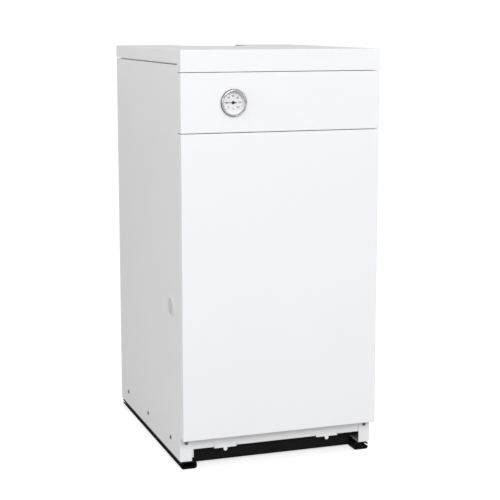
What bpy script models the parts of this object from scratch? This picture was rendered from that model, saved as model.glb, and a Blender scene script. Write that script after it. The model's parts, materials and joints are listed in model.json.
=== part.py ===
"""Floor-standing atmospheric gas boiler with its burner unit, in metres, +Z up.

The front faces -Y. The origin is on the floor, under the middle of the whole object.
"""
import math

import bmesh
import bpy
from mathutils import Vector

# Overall sizes
HEIGHT = 0.850
WIDTH = 0.420
DEPTH = 0.530              # front skin to rear skin
GAUGE_OUT = 0.007          # the gauge's bezel stands this far in front of the fascia
STUB_OUT = 0.035           # the water pipes stand this far behind the rear panel
FRONT = GAUGE_OUT - (DEPTH + STUB_OUT + GAUGE_OUT) / 2
REAR = FRONT + DEPTH
SIDE = WIDTH / 2
GAP = 0.0003               # running gap between pieces that meet
TINY = 0.000002            # points closer than this are one point

# Casing
SHEET = 0.0015
RETURN = 0.023             # depth of the folded edges of lid, fascia and door
SEAM = 0.0013
LID_SKIRT = 0.027
LID_FRONT = 0.043
FASCIA_BOTTOM = 0.688
DOOR_BOTTOM = 0.067
SIDE_FRONT = FRONT + 0.026
SIDE_REAR = REAR - 0.002
SIDE_BOTTOM = 0.016
SIDE_TOP = HEIGHT - LID_SKIRT - 0.0025
SIDE_FLANGE = 0.025
LID_REST = 0.010           # the side panels' upstand carries the lid this far in
FLUE_R = 0.065
FLUE_Y = REAR - 0.078
NOTCH_R = 0.078
PLUG_R = 0.021
SCREW_OUT = 0.002
SCREW_Z = 0.049

# Front rail and base
RAIL_BOTTOM = 0.040
RAIL_TOP = 0.100
RAIL_HALF = 0.200
RAIL_FLANGE = 0.014
BRACKET_X = 0.1125
BRACKET_HALF = 0.024
BRACKET_DROP = 0.0025
TAB_HALF = 0.004
TAB_DROP = 0.007
SKID_INNER = 0.174
SKID_OUTER = 0.208
SKID_WALL = 0.003
BEAM_SET_BACK = 0.025
BEAM_WALL = 0.0025
BEAM_BOTTOM = 0.0045
BEAM_TOP = 0.060

# Door hinges
HINGE_X = SIDE - 0.005
HINGE_Y = FRONT + 0.016
HINGE_PIN_R = 0.0025
HINGE_HEIGHTS = {"upper": 0.640, "lower": 0.110}

# Boiler shell
STEEL = 0.004
BODY_HALF = 0.150
BODY_FRONT = -0.108
BODY_REAR = 0.190
BODY_BOTTOM = 0.1053
BODY_TOP = 0.640
CHAMBER_HALF = 0.118
CHAMBER_REAR = 0.158
CHAMBER_TOP = 0.330
FLUEWAY_PITCH = 0.078
FLUEWAY_HALF = 0.025
FLUEWAY_FRONT = -0.075
FLUEWAY_REAR = 0.135
JACKET_HALF = 0.170
JACKET_FRONT = -0.127
JACKET_REAR = 0.210
FLOW_Z = 0.585
RETURN_Z = 0.150
PIPE_R = 0.021
PIPE_BORE_R = 0.018
POCKET_X = FLUEWAY_PITCH / 2
POCKET_Z = 0.560
DRAIN_X = -0.134
DRAIN_Z = 0.130
HOOD_HALF = 0.125
HOOD_TOP = 0.786

# Burner unit
PLATE_HALF = 0.124
PLATE_BOTTOM = 0.112
PLATE_TOP = 0.345
PLATE_BACK = BODY_FRONT - GAP
PLATE_FACE = PLATE_BACK - 0.002
BAR_PITCH = 0.075
BAR_Z = 0.165
BAR_MOUTH_R = 0.012
MANIFOLD_Y = -0.150
MANIFOLD_R = 0.010
PILOT_Z = 0.203
GAS_Y = SIDE_FRONT + 0.058
GAS_Z = 0.330
VALVE_FRONT = -0.228
KNOB_X = -0.030
KNOB_Z = 0.336
KNOB_R = 0.019
BUTTON_R = 0.008
BUTTON_Z = 0.316
BUTTON_OUT = 0.012
BUTTON_REACH = 0.036
PIEZO_X = 0.000
PIEZO_Z = 0.386
SIGHT_X = 0.070
SIGHT_Z = 0.270
SIGHT_R = 0.014
FLAP_PIVOT = 0.023

# Thermometer
GAUGE_X = -0.102
GAUGE_Z = 0.7465
GAUGE_R = 0.0272
BEZEL_R = 0.0264
CASE_R = 0.0252
DIAL_R = 0.0236

WHITE = (0.90, 0.90, 0.91)
BLACK = (0.015, 0.015, 0.016)
GALVANISED = (0.60, 0.61, 0.62)
STEEL_GREY = (0.32, 0.33, 0.34)
BRASS = (0.72, 0.53, 0.22)
COPPER = (0.72, 0.38, 0.22)
CHROME = (0.80, 0.80, 0.82)
STAINLESS = (0.62, 0.60, 0.57)


# --- Modelling tools ------------------------------------------------------------------

def clear_scene():
    for old in list(bpy.data.objects):
        bpy.data.objects.remove(old, do_unlink=True)


def new_object(name, form):
    bmesh.ops.recalc_face_normals(form, faces=form.faces)
    mesh = bpy.data.meshes.new(name)
    form.to_mesh(mesh)
    form.free()
    made = bpy.data.objects.new(name, mesh)
    bpy.context.scene.collection.objects.link(made)
    return made


def box(name, low, high):
    """A rectangular block between two corners."""
    form = bmesh.new()
    bmesh.ops.create_cube(form, size=1.0)
    low, high = Vector(low), Vector(high)
    for vert in form.verts:
        vert.co = Vector(low[i] + (vert.co[i] + 0.5) * (high[i] - low[i]) for i in range(3))
    return new_object(name, form)


def extruded(name, outline, axis, start, end):
    """A flat outline pushed along X, Y or Z; its points are the other two coordinates."""
    form = bmesh.new()
    along = "XYZ".index(axis)
    verts = []
    for u, v in outline:
        place = [u, v]
        place.insert(along, start)
        verts.append(form.verts.new(place))
    face = form.faces.new(verts)
    pushed = bmesh.ops.extrude_face_region(form, geom=[face])["geom"]
    shift = Vector((0, 0, 0))
    shift[along] = end - start
    bmesh.ops.translate(form, vec=shift, verts=[g for g in pushed if isinstance(g, bmesh.types.BMVert)])
    return new_object(name, form)


def turned(name, profile, centre, direction, closed=False, sides=32):
    """A profile of (radius, height) points turned about an axis; a closed one makes a ring."""
    form = bmesh.new()
    turn = Vector((0, 0, 1)).rotation_difference(Vector(direction)).to_matrix()
    centre = Vector(centre)
    rings = []
    for radius, height in profile:
        count = 1 if radius == 0 else sides
        ring = []
        for i in range(count):
            angle = 2 * math.pi * (i + 0.5) / sides
            spot = Vector((radius * math.cos(angle), radius * math.sin(angle), height))
            ring.append(form.verts.new(centre + turn @ spot))
        rings.append(ring)
    pairs = list(zip(rings, rings[1:]))
    if closed:
        pairs.append((rings[-1], rings[0]))
    for lower, upper in pairs:
        for i in range(sides):
            corners = [lower[i % len(lower)], lower[(i + 1) % sides % len(lower)],
                       upper[(i + 1) % sides % len(upper)], upper[i % len(upper)]]
            form.faces.new(list(dict.fromkeys(corners)))
    return new_object(name, form)


def rod(name, radius, centre, direction, start, end, sides=32):
    """A plain cylinder from start to end along a direction."""
    profile = [(0, start), (radius, start), (radius, end), (0, end)]
    return turned(name, profile, centre, direction, sides=sides)


def smooth_path(points, steps):
    """Points along a Catmull-Rom curve through the given ones."""
    points = [Vector(p) for p in points]
    padded = [2 * points[0] - points[1]] + points + [2 * points[-1] - points[-2]]
    path = []
    for a, b, c, d in zip(padded, padded[1:], padded[2:], padded[3:]):
        for step in range(steps):
            t = step / steps
            path.append(0.5 * (2 * b + (c - a) * t + (2 * a - 5 * b + 4 * c - d) * t ** 2
                               + (3 * b - a - 3 * c + d) * t ** 3))
    path.append(points[-1])
    return path


def swept(name, path, radii, sides=10):
    """A round bar along a path, with its own radius at each point."""
    form = bmesh.new()
    across = None
    rings = []
    for i, centre in enumerate(path):
        heading = (path[min(i + 1, len(path) - 1)] - path[max(i - 1, 0)]).normalized()
        if across is None:
            across = heading.orthogonal().normalized()
        across = (across - heading * across.dot(heading)).normalized()
        other = heading.cross(across)
        ring = []
        for k in range(sides):
            angle = 2 * math.pi * k / sides
            ring.append(form.verts.new(centre + radii[i] * (across * math.cos(angle) + other * math.sin(angle))))
        rings.append(ring)
    for lower, upper in zip(rings, rings[1:]):
        for k in range(sides):
            form.faces.new([lower[k], lower[(k + 1) % sides], upper[(k + 1) % sides], upper[k]])
    form.faces.new(list(reversed(rings[0])))
    form.faces.new(rings[-1])
    return new_object(name, form)


def combine(target, tools, operation):
    """Cut the tools out of the target, or join them to it."""
    for tool in tools:
        step = target.modifiers.new(tool.name, "BOOLEAN")
        step.operation = operation
        step.solver = "EXACT"
        step.object = tool
    bpy.context.view_layer.update()
    result = target.evaluated_get(bpy.context.evaluated_depsgraph_get())
    mesh = bpy.data.meshes.new_from_object(result)
    form = bmesh.new()
    form.from_mesh(mesh)
    bmesh.ops.dissolve_degenerate(form, dist=TINY, edges=form.edges)
    bmesh.ops.remove_doubles(form, verts=form.verts, dist=TINY)
    form.to_mesh(mesh)
    form.free()
    target.modifiers.clear()
    target.data = mesh
    mesh.name = target.name
    for tool in tools:
        bpy.data.objects.remove(tool, do_unlink=True)
    return target


def cut(target, *tools):
    return combine(target, tools, "DIFFERENCE")


def join(target, *tools):
    return combine(target, tools, "UNION")


def inset(outline, distance):
    """A convex outline, given anticlockwise, moved inwards by a distance."""
    moved = []
    count = len(outline)
    for i in range(count):
        a, b, c = (Vector(outline[(i + k - 1) % count]) for k in range(3))
        before, after = (b - a).normalized(), (c - b).normalized()
        inward_before = Vector((-before.y, before.x))
        inward_after = Vector((-after.y, after.x))
        blend = inward_before + inward_after
        moved.append(tuple(b + blend * distance / (1 + inward_before.dot(inward_after))))
    return moved


def arc(centre, radius, first, last, steps):
    """Points on a circle between two angles in degrees."""
    points = []
    for i in range(steps + 1):
        angle = math.radians(first + (last - first) * i / steps)
        points.append((centre[0] + radius * math.cos(angle), centre[1] + radius * math.sin(angle)))
    return points


def tray(name, low, high, open_side, wall=SHEET):
    """A folded sheet box with one side missing; open_side is such as '+Y'."""
    inner_low = [v + wall for v in low]
    inner_high = [v - wall for v in high]
    along = "XYZ".index(open_side[1])
    if open_side[0] == "+":
        inner_high[along] = high[along] + wall
    else:
        inner_low[along] = low[along] - wall
    return cut(box(name, low, high), box("hollow", inner_low, inner_high))


def finish(piece, parent, colour, roughness, metallic=0.0, round_piece=False, alpha=1.0):
    """Give a piece its own material and hang it under its group's empty."""
    material = bpy.data.materials.new(piece.name)
    material.use_nodes = True
    shader = material.node_tree.nodes["Principled BSDF"]
    shader.inputs["Base Color"].default_value = (*colour, 1.0)
    shader.inputs["Roughness"].default_value = roughness
    shader.inputs["Metallic"].default_value = metallic
    shader.inputs["Alpha"].default_value = alpha
    piece.data.materials.clear()
    piece.data.materials.append(material)
    if round_piece:
        piece.data.shade_smooth()
        piece.data.set_sharp_from_angle(angle=math.radians(35))
    piece.parent = parent
    return piece


def set_origin(piece, point):
    """Move a moving piece's origin onto its joint's axis."""
    point = Vector(point)
    for vert in piece.data.vertices:
        vert.co -= point
    piece.location = point


def group(name):
    empty = bpy.data.objects.new(name, None)
    bpy.context.scene.collection.objects.link(empty)
    return empty


# --- Casing ---------------------------------------------------------------------------

def make_lid(parent):
    low = (-SIDE, FRONT, HEIGHT - LID_FRONT)
    lid = tray("top_cover", low, (SIDE, REAR, HEIGHT), "-Z")
    below_skirt = box("side_cut", (-1, FRONT + RETURN, 0.5), (1, 1, HEIGHT - LID_SKIRT))
    flue_round = rod("flue_round", NOTCH_R, (0, FLUE_Y, 0), (0, 0, 1), 0.7, 1.0, sides=48)
    flue_slot = box("flue_slot", (-NOTCH_R, FLUE_Y, 0.7), (NOTCH_R, 1, 1))
    cut(lid, below_skirt, join(flue_slot, flue_round))
    set_origin(lid, (0, 0, HEIGHT - LID_SKIRT))
    finish(lid, parent, WHITE, 0.35)


def make_fascia(parent):
    top = HEIGHT - LID_FRONT - SEAM
    fascia = tray("front_fascia", (-SIDE, FRONT, FASCIA_BOTTOM), (SIDE, FRONT + RETURN, top), "+Y")
    hole = rod("gauge_hole", CASE_R + GAP, (GAUGE_X, FRONT, GAUGE_Z), (0, 1, 0), -0.01, 0.01)
    finish(cut(fascia, hole), parent, WHITE, 0.35)


def make_door(parent):
    high = (SIDE, FRONT + RETURN, FASCIA_BOTTOM - SEAM)
    door = tray("front_door", (-SIDE, FRONT, DOOR_BOTTOM), high, "+Y")
    for level in HINGE_HEIGHTS.values():
        low = (SIDE - 2 * SHEET, FRONT + 0.010, level - 0.016)
        cut(door, box("hinge_slot", low, (SIDE + SHEET, FRONT + 2 * RETURN, level + 0.008)))
    set_origin(door, (HINGE_X, HINGE_Y, 0))
    finish(door, parent, WHITE, 0.35)
    for end, level in HINGE_HEIGHTS.items():
        low = (HINGE_X - 0.010, FRONT + SHEET + GAP, level + 0.0005)
        eye = box("hinge_eye_" + end, low, (SIDE - SHEET - GAP, HINGE_Y + 0.005, level + 0.0021))
        hole = rod("eye_hole", HINGE_PIN_R + GAP, (HINGE_X, HINGE_Y, level), (0, 0, 1), -0.01, 0.01)
        set_origin(cut(eye, hole), (HINGE_X, HINGE_Y, 0))
        finish(eye, parent, GALVANISED, 0.4, 0.9)


def make_hinge_brackets(parent):
    """Plates on the right side panel's front flange, each with an upright pin."""
    foot_back = SIDE_FRONT - GAP
    for end, level in HINGE_HEIGHTS.items():
        low = (HINGE_X - 0.009, HINGE_Y - 0.004, level - 0.002)
        bracket = box("hinge_bracket_" + end, low, (HINGE_X + 0.0025, foot_back, level))
        foot = box("foot", (HINGE_X - 0.018, foot_back - 0.0015, level - 0.012), (HINGE_X + 0.0025, foot_back, level))
        pin = rod("pin", HINGE_PIN_R, (HINGE_X, HINGE_Y, level), (0, 0, 1), -0.001, 0.008, sides=20)
        finish(join(bracket, foot, pin), parent, GALVANISED, 0.4, 0.9)
    catch = box("door_magnet", (-0.204, FRONT + SHEET + 0.0006, 0.370), (-0.188, foot_back, 0.410))
    finish(catch, parent, BLACK, 0.5)


def make_side_panel(parent, name, sign):
    inner, outer = SIDE - SIDE_FLANGE, SIDE
    low_x, high_x = (inner, outer) if sign > 0 else (-outer, -inner)
    low = (low_x, SIDE_FRONT, SIDE_BOTTOM + GAP)
    panel = tray(name, low, (high_x, SIDE_REAR, SIDE_TOP), "-X" if sign > 0 else "+X")
    rest_x = sign * (SIDE - LID_REST)
    upstand = box("upstand", (rest_x - SHEET / 2, SIDE_FRONT + 0.015, SIDE_TOP - SHEET / 2),
                  (rest_x + SHEET / 2, SIDE_REAR - 0.012, HEIGHT - SHEET - 0.0005))
    join(panel, upstand)
    screw_hole = rod("screw_hole", 0.0024, (0, 0, SCREW_Z), (sign, 0, 0), SIDE - 0.01, SIDE + 0.01, sides=16)
    cut(panel, screw_hole)
    if sign < 0:
        cut(panel, rod("plug_hole", PLUG_R - 0.002, (-SIDE, GAS_Y, GAS_Z), (1, 0, 0), -0.01, 0.01))
    finish(panel, parent, WHITE, 0.35)


def make_side_fittings(parent):
    outside = SHEET + 0.0003
    profile = [(0, 0.0004), (0.0165, 0.0004), (0.0165, -0.006), (0.0187, -0.006), (0.0187, GAP),
               (PLUG_R, GAP), (PLUG_R, 0.0009), (PLUG_R - 0.001, outside), (0, outside)]
    plug = turned("side_hole_plug", profile, (-SIDE, GAS_Y, GAS_Z), (-1, 0, 0), sides=28)
    finish(plug, parent, WHITE, 0.4, round_piece=True)
    head = [(0, -0.009), (0.0020, -0.009), (0.0020, GAP), (0.0045, GAP), (0.0045, 0.0010),
            (0.0032, SCREW_OUT), (0, SCREW_OUT)]
    for name, sign in (("side_screw_left", -1), ("side_screw_right", 1)):
        screw = turned(name, head, (sign * SIDE, 0, SCREW_Z), (sign, 0, 0), sides=12)
        finish(screw, parent, GALVANISED, 0.35, 0.9, True)


def make_rear_panel(parent):
    face = SIDE_REAR + GAP
    panel = box("rear_panel", (-0.2075, face, 0.020), (0.2075, face + SHEET, SIDE_TOP - 0.001))
    flange = box("flange", (-0.184, 0.241, SIDE_TOP - 0.001 - SHEET), (0.184, face + SHEET / 2, SIDE_TOP - 0.001))
    join(panel, flange)
    for level in (FLOW_Z, RETURN_Z):
        cut(panel, rod("pipe_hole", PIPE_R + 0.006, (0, 0, level), (0, 1, 0), 0.2, 0.3))
    finish(panel, parent, GALVANISED, 0.45, 0.8)


def make_front_rail(parent):
    """The folded strip under the door, with two short brackets and tabs below it."""
    outline = [(-RAIL_HALF, RAIL_TOP), (-RAIL_HALF, RAIL_BOTTOM)]
    bracket_bottom = RAIL_BOTTOM - BRACKET_DROP
    tab_centre = bracket_bottom - TAB_DROP + TAB_HALF
    for middle in (-BRACKET_X, BRACKET_X):
        outline += [(middle - BRACKET_HALF, RAIL_BOTTOM), (middle - BRACKET_HALF, bracket_bottom)]
        outline += [(middle - TAB_HALF, bracket_bottom)]
        outline += arc((middle, tab_centre), TAB_HALF, 180, 360, 6)
        outline += [(middle + TAB_HALF, bracket_bottom)]
        outline += [(middle + BRACKET_HALF, bracket_bottom), (middle + BRACKET_HALF, RAIL_BOTTOM)]
    outline += [(RAIL_HALF, RAIL_BOTTOM), (RAIL_HALF, RAIL_TOP)]
    face = SIDE_FRONT + SHEET + GAP
    rail = extruded("front_lower_rail", outline, "Y", face, face + SHEET)
    back = face + RAIL_FLANGE
    for level in (RAIL_BOTTOM, RAIL_TOP - SHEET):
        join(rail, box("flange", (-RAIL_HALF, face + SHEET / 2, level), (RAIL_HALF, back, level + SHEET)))
    finish(rail, parent, WHITE, 0.38)


# --- Base -----------------------------------------------------------------------------

def make_skid(parent, name, sign):
    """A pressed channel that the whole boiler stands on, its slot facing outwards between rolled lips."""
    bend = 0.006
    height = SIDE_BOTTOM
    corners = [(SKID_OUTER - bend, height - bend), (SKID_INNER + bend, height - bend),
               (SKID_INNER + bend, bend), (SKID_OUTER - bend, bend)]
    outer, inner = [], []
    for quarter, centre in enumerate(corners):
        outer += arc(centre, bend, 90 * quarter, 90 * quarter + 90, 5)
        inner += arc(centre, bend - SKID_WALL, 90 * quarter, 90 * quarter + 90, 4)
    outline = [(sign * x, z) for x, z in outer + inner[::-1]]
    skid = extruded(name, outline, "Y", SIDE_FRONT + 0.001, SIDE_REAR - 0.002)
    finish(skid, parent, BLACK, 0.4, round_piece=True)


def make_beam(parent, name, face, inward):
    """A cross beam between the skids: a channel whose flanges point inwards."""
    half = SKID_INNER - 0.0005
    deep = face + inward * 0.025
    low = (-half, min(face, deep), BEAM_BOTTOM)
    high = (half, max(face, deep), BEAM_TOP)
    beam = box(name, low, high)
    hollow_low = (-1, min(face + inward * BEAM_WALL, deep + inward * 0.01), BEAM_BOTTOM + BEAM_WALL)
    hollow_high = (1, max(face + inward * BEAM_WALL, deep + inward * 0.01), BEAM_TOP - BEAM_WALL)
    finish(cut(beam, box("hollow", hollow_low, hollow_high)), parent, BLACK, 0.4)


def make_heat_shield(parent):
    low = (-0.155, -0.220, BEAM_TOP + GAP)
    shield = tray("base_heat_shield", low, (0.155, 0.220, BEAM_TOP + 0.010), "+Z", 0.0012)
    finish(shield, parent, GALVANISED, 0.45, 0.9)


def make_cradle(parent, name, sign):
    """A Z-shaped rail that carries the boiler shell on a skid."""
    foot, wall, ledge = 0.1845, 0.163, 0.130
    base, top = SIDE_BOTTOM + GAP, BODY_BOTTOM - GAP
    outline = [(foot, base), (foot, base + SKID_WALL), (wall, base + SKID_WALL), (wall, top), (ledge, top),
               (ledge, top - SKID_WALL), (wall - SKID_WALL, top - SKID_WALL), (wall - SKID_WALL, base)]
    outline = [(sign * x, z) for x, z in outline]
    finish(extruded(name, outline, "Y", -0.100, 0.180), parent, BLACK, 0.5)


# --- Boiler shell ---------------------------------------------------------------------

def flueway_centres():
    return [-FLUEWAY_PITCH, 0, FLUEWAY_PITCH]


def make_boiler_body(parent):
    """Steel shell: a water space around the fire chamber and its three upright flueways."""
    low = (-BODY_HALF, BODY_FRONT, BODY_BOTTOM)
    high = (BODY_HALF, BODY_REAR, BODY_TOP)
    body = box("boiler_body", low, high)
    water = box("water", [v + STEEL for v in low], [v - STEEL for v in high])
    chamber_wall = box("chamber_wall", (-CHAMBER_HALF - STEEL, -0.2, 0),
                       (CHAMBER_HALF + STEEL, CHAMBER_REAR + STEEL, CHAMBER_TOP + STEEL))
    walls = [chamber_wall]
    spaces = [box("chamber", (-CHAMBER_HALF, -0.3, 0), (CHAMBER_HALF, CHAMBER_REAR, CHAMBER_TOP))]
    for x in flueway_centres():
        out = FLUEWAY_HALF + STEEL
        walls.append(box("flueway_wall", (x - out, FLUEWAY_FRONT - STEEL, CHAMBER_TOP),
                         (x + out, FLUEWAY_REAR + STEEL, BODY_TOP + 0.01)))
        spaces.append(box("flueway", (x - FLUEWAY_HALF, FLUEWAY_FRONT, CHAMBER_TOP - 0.01),
                          (x + FLUEWAY_HALF, FLUEWAY_REAR, BODY_TOP + 0.01)))
    cut(water, *walls)
    cut(body, water)
    cut(body, *spaces)
    for level in (FLOW_Z, RETURN_Z):
        cut(body, rod("pipe_bore", PIPE_BORE_R, (0, 0, level), (0, 1, 0), BODY_REAR - 0.01, BODY_REAR + 0.01))
    cut(body, rod("pocket_bore", 0.0075, (POCKET_X, BODY_FRONT, POCKET_Z), (0, 1, 0), -0.01, 0.01, sides=20))
    cut(body, rod("drain_bore", 0.0050, (DRAIN_X, BODY_FRONT, DRAIN_Z), (0, 1, 0), -0.01, 0.01, sides=16))
    finish(body, parent, STEEL_GREY, 0.55, 0.6)


def make_baffles(parent):
    """A zigzag plate in each flueway that slows the hot gas."""
    reach, thick, folds = 0.0205, 0.0020, 8
    low, high = CHAMBER_TOP + 0.020, BODY_TOP - 0.010
    for number, x in enumerate(flueway_centres(), 1):
        edge = []
        for i in range(folds + 1):
            side = reach if i % 2 else -reach
            edge.append((x + side, low + (high - low) * i / folds))
        outline = edge + [(u + thick, v) for u, v in reversed(edge)]
        baffle = extruded("flue_baffle_%d" % number, outline, "Y", FLUEWAY_FRONT + 0.005, FLUEWAY_REAR - 0.005)
        finish(baffle, parent, STAINLESS, 0.4, 0.9)


def make_jacket(parent):
    low = (-JACKET_HALF, JACKET_FRONT, 0.112)
    jacket = box("insulation_jacket", low, (JACKET_HALF, JACKET_REAR, BODY_TOP))
    slack = 0.0005
    cut(jacket, box("inside", (-BODY_HALF - slack, BODY_FRONT - slack, 0), (BODY_HALF + slack, BODY_REAR + slack, 1)))
    cut(jacket, box("burner_gap", (-0.146, -0.2, 0), (0.146, BODY_FRONT, 0.356)))
    for level in (FLOW_Z, RETURN_Z):
        cut(jacket, rod("pipe_hole", 0.032, (0, 0, level), (0, 1, 0), BODY_REAR - 0.01, JACKET_REAR + 0.01))
    cut(jacket, rod("pocket_hole", 0.014, (POCKET_X, BODY_FRONT, POCKET_Z), (0, 1, 0), -0.03, 0.002, sides=24))
    finish(jacket, parent, (0.72, 0.72, 0.70), 0.5, 0.5)


def make_flue_hood(parent):
    """Sheet hood over the flueways, with the draught break in its rear slope."""
    base = BODY_TOP + 0.0005
    outline = [(-0.080, base), (0.186, base), (0.243, 0.700), (0.243, HOOD_TOP), (0.050, HOOD_TOP), (-0.080, 0.700)]
    hood = extruded("flue_hood", outline, "X", -HOOD_HALF, HOOD_HALF)
    inner = HOOD_HALF - SHEET
    cut(hood, extruded("inside", inset(outline, SHEET), "X", -inner, inner))
    cut(hood, box("flue_entry", (-0.115, -0.072, 0.6), (0.115, 0.176, base + 0.004)))
    cut(hood, rod("flue_exit", FLUE_R - 0.003, (0, FLUE_Y, 0), (0, 0, 1), HOOD_TOP - 0.01, HOOD_TOP + 0.01, sides=40))
    cut(hood, box("draught_break", (-0.080, 0.205, 0.650), (0.080, 0.225, 0.690)))
    finish(hood, parent, GALVANISED, 0.4, 0.9)
    seat = HOOD_TOP + GAP
    profile = [(FLUE_R - 0.003, seat), (FLUE_R + 0.004, seat), (FLUE_R + 0.004, seat + 0.0015),
               (FLUE_R, seat + 0.0015), (FLUE_R, 0.818), (FLUE_R - 0.003, 0.818)]
    collar = turned("flue_collar", profile, (0, FLUE_Y, 0), (0, 0, 1), closed=True, sides=36)
    finish(collar, parent, GALVANISED, 0.35, 0.9, True)


def make_water_fittings(parent):
    start, end = BODY_REAR + GAP, REAR + STUB_OUT
    profile = [(PIPE_BORE_R, start), (0.028, start), (0.028, start + 0.003), (PIPE_R, start + 0.003),
               (PIPE_R, end - 0.025), (0.0245, end - 0.025), (0.0245, end), (PIPE_BORE_R, end)]
    for name, level in (("flow_stub", FLOW_Z), ("return_stub", RETURN_Z)):
        stub = turned(name, profile, (0, 0, level), (0, 1, 0), closed=True, sides=24)
        finish(stub, parent, STEEL_GREY, 0.45, 0.8, True)
    mouth, tip = -0.034, 0.075
    profile = [(0, tip), (0.0068, tip), (0.0068, -GAP), (0.0120, -GAP), (0.0120, -0.014), (0.0085, -0.014),
               (0.0085, mouth), (0.0045, mouth), (0.0045, mouth + 0.015), (0, mouth + 0.015)]
    pocket = turned("sensor_pocket", profile, (POCKET_X, BODY_FRONT, POCKET_Z), (0, 1, 0), sides=18)
    finish(pocket, parent, BRASS, 0.35, 0.9, True)
    profile = [(0, GAP), (0.0065, GAP), (0.0065, 0.004), (0.0078, 0.004), (0.0078, 0.015), (0.0092, 0.018),
               (0.0092, 0.034), (0.0070, 0.037), (0.0070, 0.046), (0.0082, 0.048), (0.0060, 0.060),
               (0.0040, 0.060), (0.0040, 0.040), (0, 0.040)]
    cock = turned("drain_cock_body", profile, (DRAIN_X, BODY_FRONT, DRAIN_Z), (0, -1, 0), sides=16)
    finish(cock, parent, BRASS, 0.35, 0.9, True)
    axis_y = BODY_FRONT - 0.026
    outline = arc((DRAIN_X, axis_y), 0.0060, -60, 60, 6)
    outline += arc((DRAIN_X - 0.034, axis_y), 0.0045, 90, 270, 6)
    top = DRAIN_Z + 0.0140
    lever = extruded("drain_cock_lever", outline, "Z", top, top + 0.0018)
    stem = rod("stem", 0.0030, (DRAIN_X, axis_y, 0), (0, 0, 1), DRAIN_Z + 0.0096, top + 0.0005, sides=16)
    set_origin(join(lever, stem), (DRAIN_X, axis_y, DRAIN_Z))
    finish(lever, parent, (0.55, 0.05, 0.04), 0.45)


# --- Burner unit ----------------------------------------------------------------------

def bar_centres():
    return [-BAR_PITCH, 0, BAR_PITCH]


def make_burner_plate(parent):
    plate = box("burner_plate", (-PLATE_HALF, PLATE_FACE, PLATE_BOTTOM), (PLATE_HALF, PLATE_BACK, PLATE_TOP))
    stud = rod("stud", 0.0030, (SIGHT_X, PLATE_FACE, SIGHT_Z + FLAP_PIVOT), (0, -1, 0), -0.001, 0.006, sides=16)
    join(plate, stud)
    for x in bar_centres():
        cut(plate, rod("mouth", BAR_MOUTH_R + 0.001, (x, PLATE_FACE, BAR_Z), (0, 1, 0), -0.01, 0.01, sides=24))
    cut(plate, rod("sight", SIGHT_R, (SIGHT_X, PLATE_FACE, SIGHT_Z), (0, 1, 0), -0.01, 0.01, sides=24))
    low = (-BAR_PITCH / 2 - 0.019, -0.2, PILOT_Z - 0.007)
    cut(plate, box("pilot_window", low, (-BAR_PITCH / 2 + 0.019, 0, PILOT_Z + 0.007)))
    finish(plate, parent, GALVANISED, 0.45, 0.9)


def make_burner_bars(parent):
    """Each bar: a mixing tube that widens into a slotted stainless head."""
    half, wall, slots = 0.015, 0.0012, 8
    head_front, head_rear = -0.050, 0.140
    tube_front = PLATE_BACK + 0.003

    def head_outline(x, shrink):
        side = half - shrink
        flat = arc((x, BAR_Z + 0.010), side, 0, 180, 8)
        return [(x - side, BAR_Z - 0.014 + shrink), (x + side, BAR_Z - 0.014 + shrink)] + flat

    for number, x in enumerate(bar_centres(), 1):
        bar = extruded("burner_bar_%d" % number, head_outline(x, 0), "Y", head_front, head_rear)
        join(bar, rod("tube", BAR_MOUTH_R, (x, 0, BAR_Z), (0, 1, 0), tube_front, head_front + 0.01, sides=20))
        inside = extruded("inside", head_outline(x, wall), "Y", head_front + wall, head_rear - wall)
        join(inside, rod("bore", BAR_MOUTH_R - wall, (x, 0, BAR_Z), (0, 1, 0), tube_front - 0.01, head_front + 0.012,
                         sides=20))
        cut(bar, inside)
        pitch = (head_rear - head_front - 0.02) / slots
        for i in range(slots):
            start = head_front + 0.010 + pitch * (i + 0.35)
            cut(bar, box("slot", (x - 0.007, start, BAR_Z + 0.018), (x + 0.007, start + 0.004, BAR_Z + 0.04)))
        finish(bar, parent, STAINLESS, 0.35, 0.9, True)


def make_gas_train(parent):
    manifold = rod("gas_manifold", MANIFOLD_R, (0, MANIFOLD_Y, BAR_Z), (1, 0, 0), -0.098, 0.104, sides=24)
    for x in (-BAR_PITCH / 2, BAR_PITCH / 2):
        arm = box("arm", (x - 0.006, MANIFOLD_Y, BAR_Z - 0.006), (x + 0.006, PLATE_FACE - GAP, BAR_Z + 0.006))
        foot = box("foot", (x - 0.006, PLATE_FACE - GAP - 0.002, BAR_Z - 0.022),
                   (x + 0.006, PLATE_FACE - GAP, BAR_Z + 0.022))
        join(manifold, arm, foot)
    finish(manifold, parent, STEEL_GREY, 0.45, 0.8, True)
    start = MANIFOLD_R + GAP
    profile = [(0, start), (0.0058, start), (0.0058, start + 0.010), (0.0042, start + 0.011),
               (0.0042, start + 0.018), (0.0030, start + 0.020), (0.0010, start + 0.020), (0, start + 0.016)]
    for number, x in enumerate(bar_centres(), 1):
        injector = turned("gas_injector_%d" % number, profile, (x, MANIFOLD_Y, BAR_Z), (0, 1, 0), sides=12)
        finish(injector, parent, BRASS, 0.35, 0.9, True)
    drop_x = 0.088
    corners = [(0.0375, GAS_Y, GAS_Z), (0.055, GAS_Y, GAS_Z), (0.078, GAS_Y + 0.003, GAS_Z - 0.006),
               (drop_x, GAS_Y + 0.018, GAS_Z - 0.030), (drop_x, MANIFOLD_Y - 0.006, GAS_Z - 0.060),
               (drop_x, MANIFOLD_Y, GAS_Z - 0.090), (drop_x, MANIFOLD_Y, BAR_Z + MANIFOLD_R + 0.030),
               (drop_x, MANIFOLD_Y, BAR_Z + MANIFOLD_R + GAP)]
    path = smooth_path(corners, 3)
    pipe = swept("gas_pipe", path, [0.0075] * len(path), sides=12)
    finish(pipe, parent, STEEL_GREY, 0.4, 0.8, True)


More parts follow.
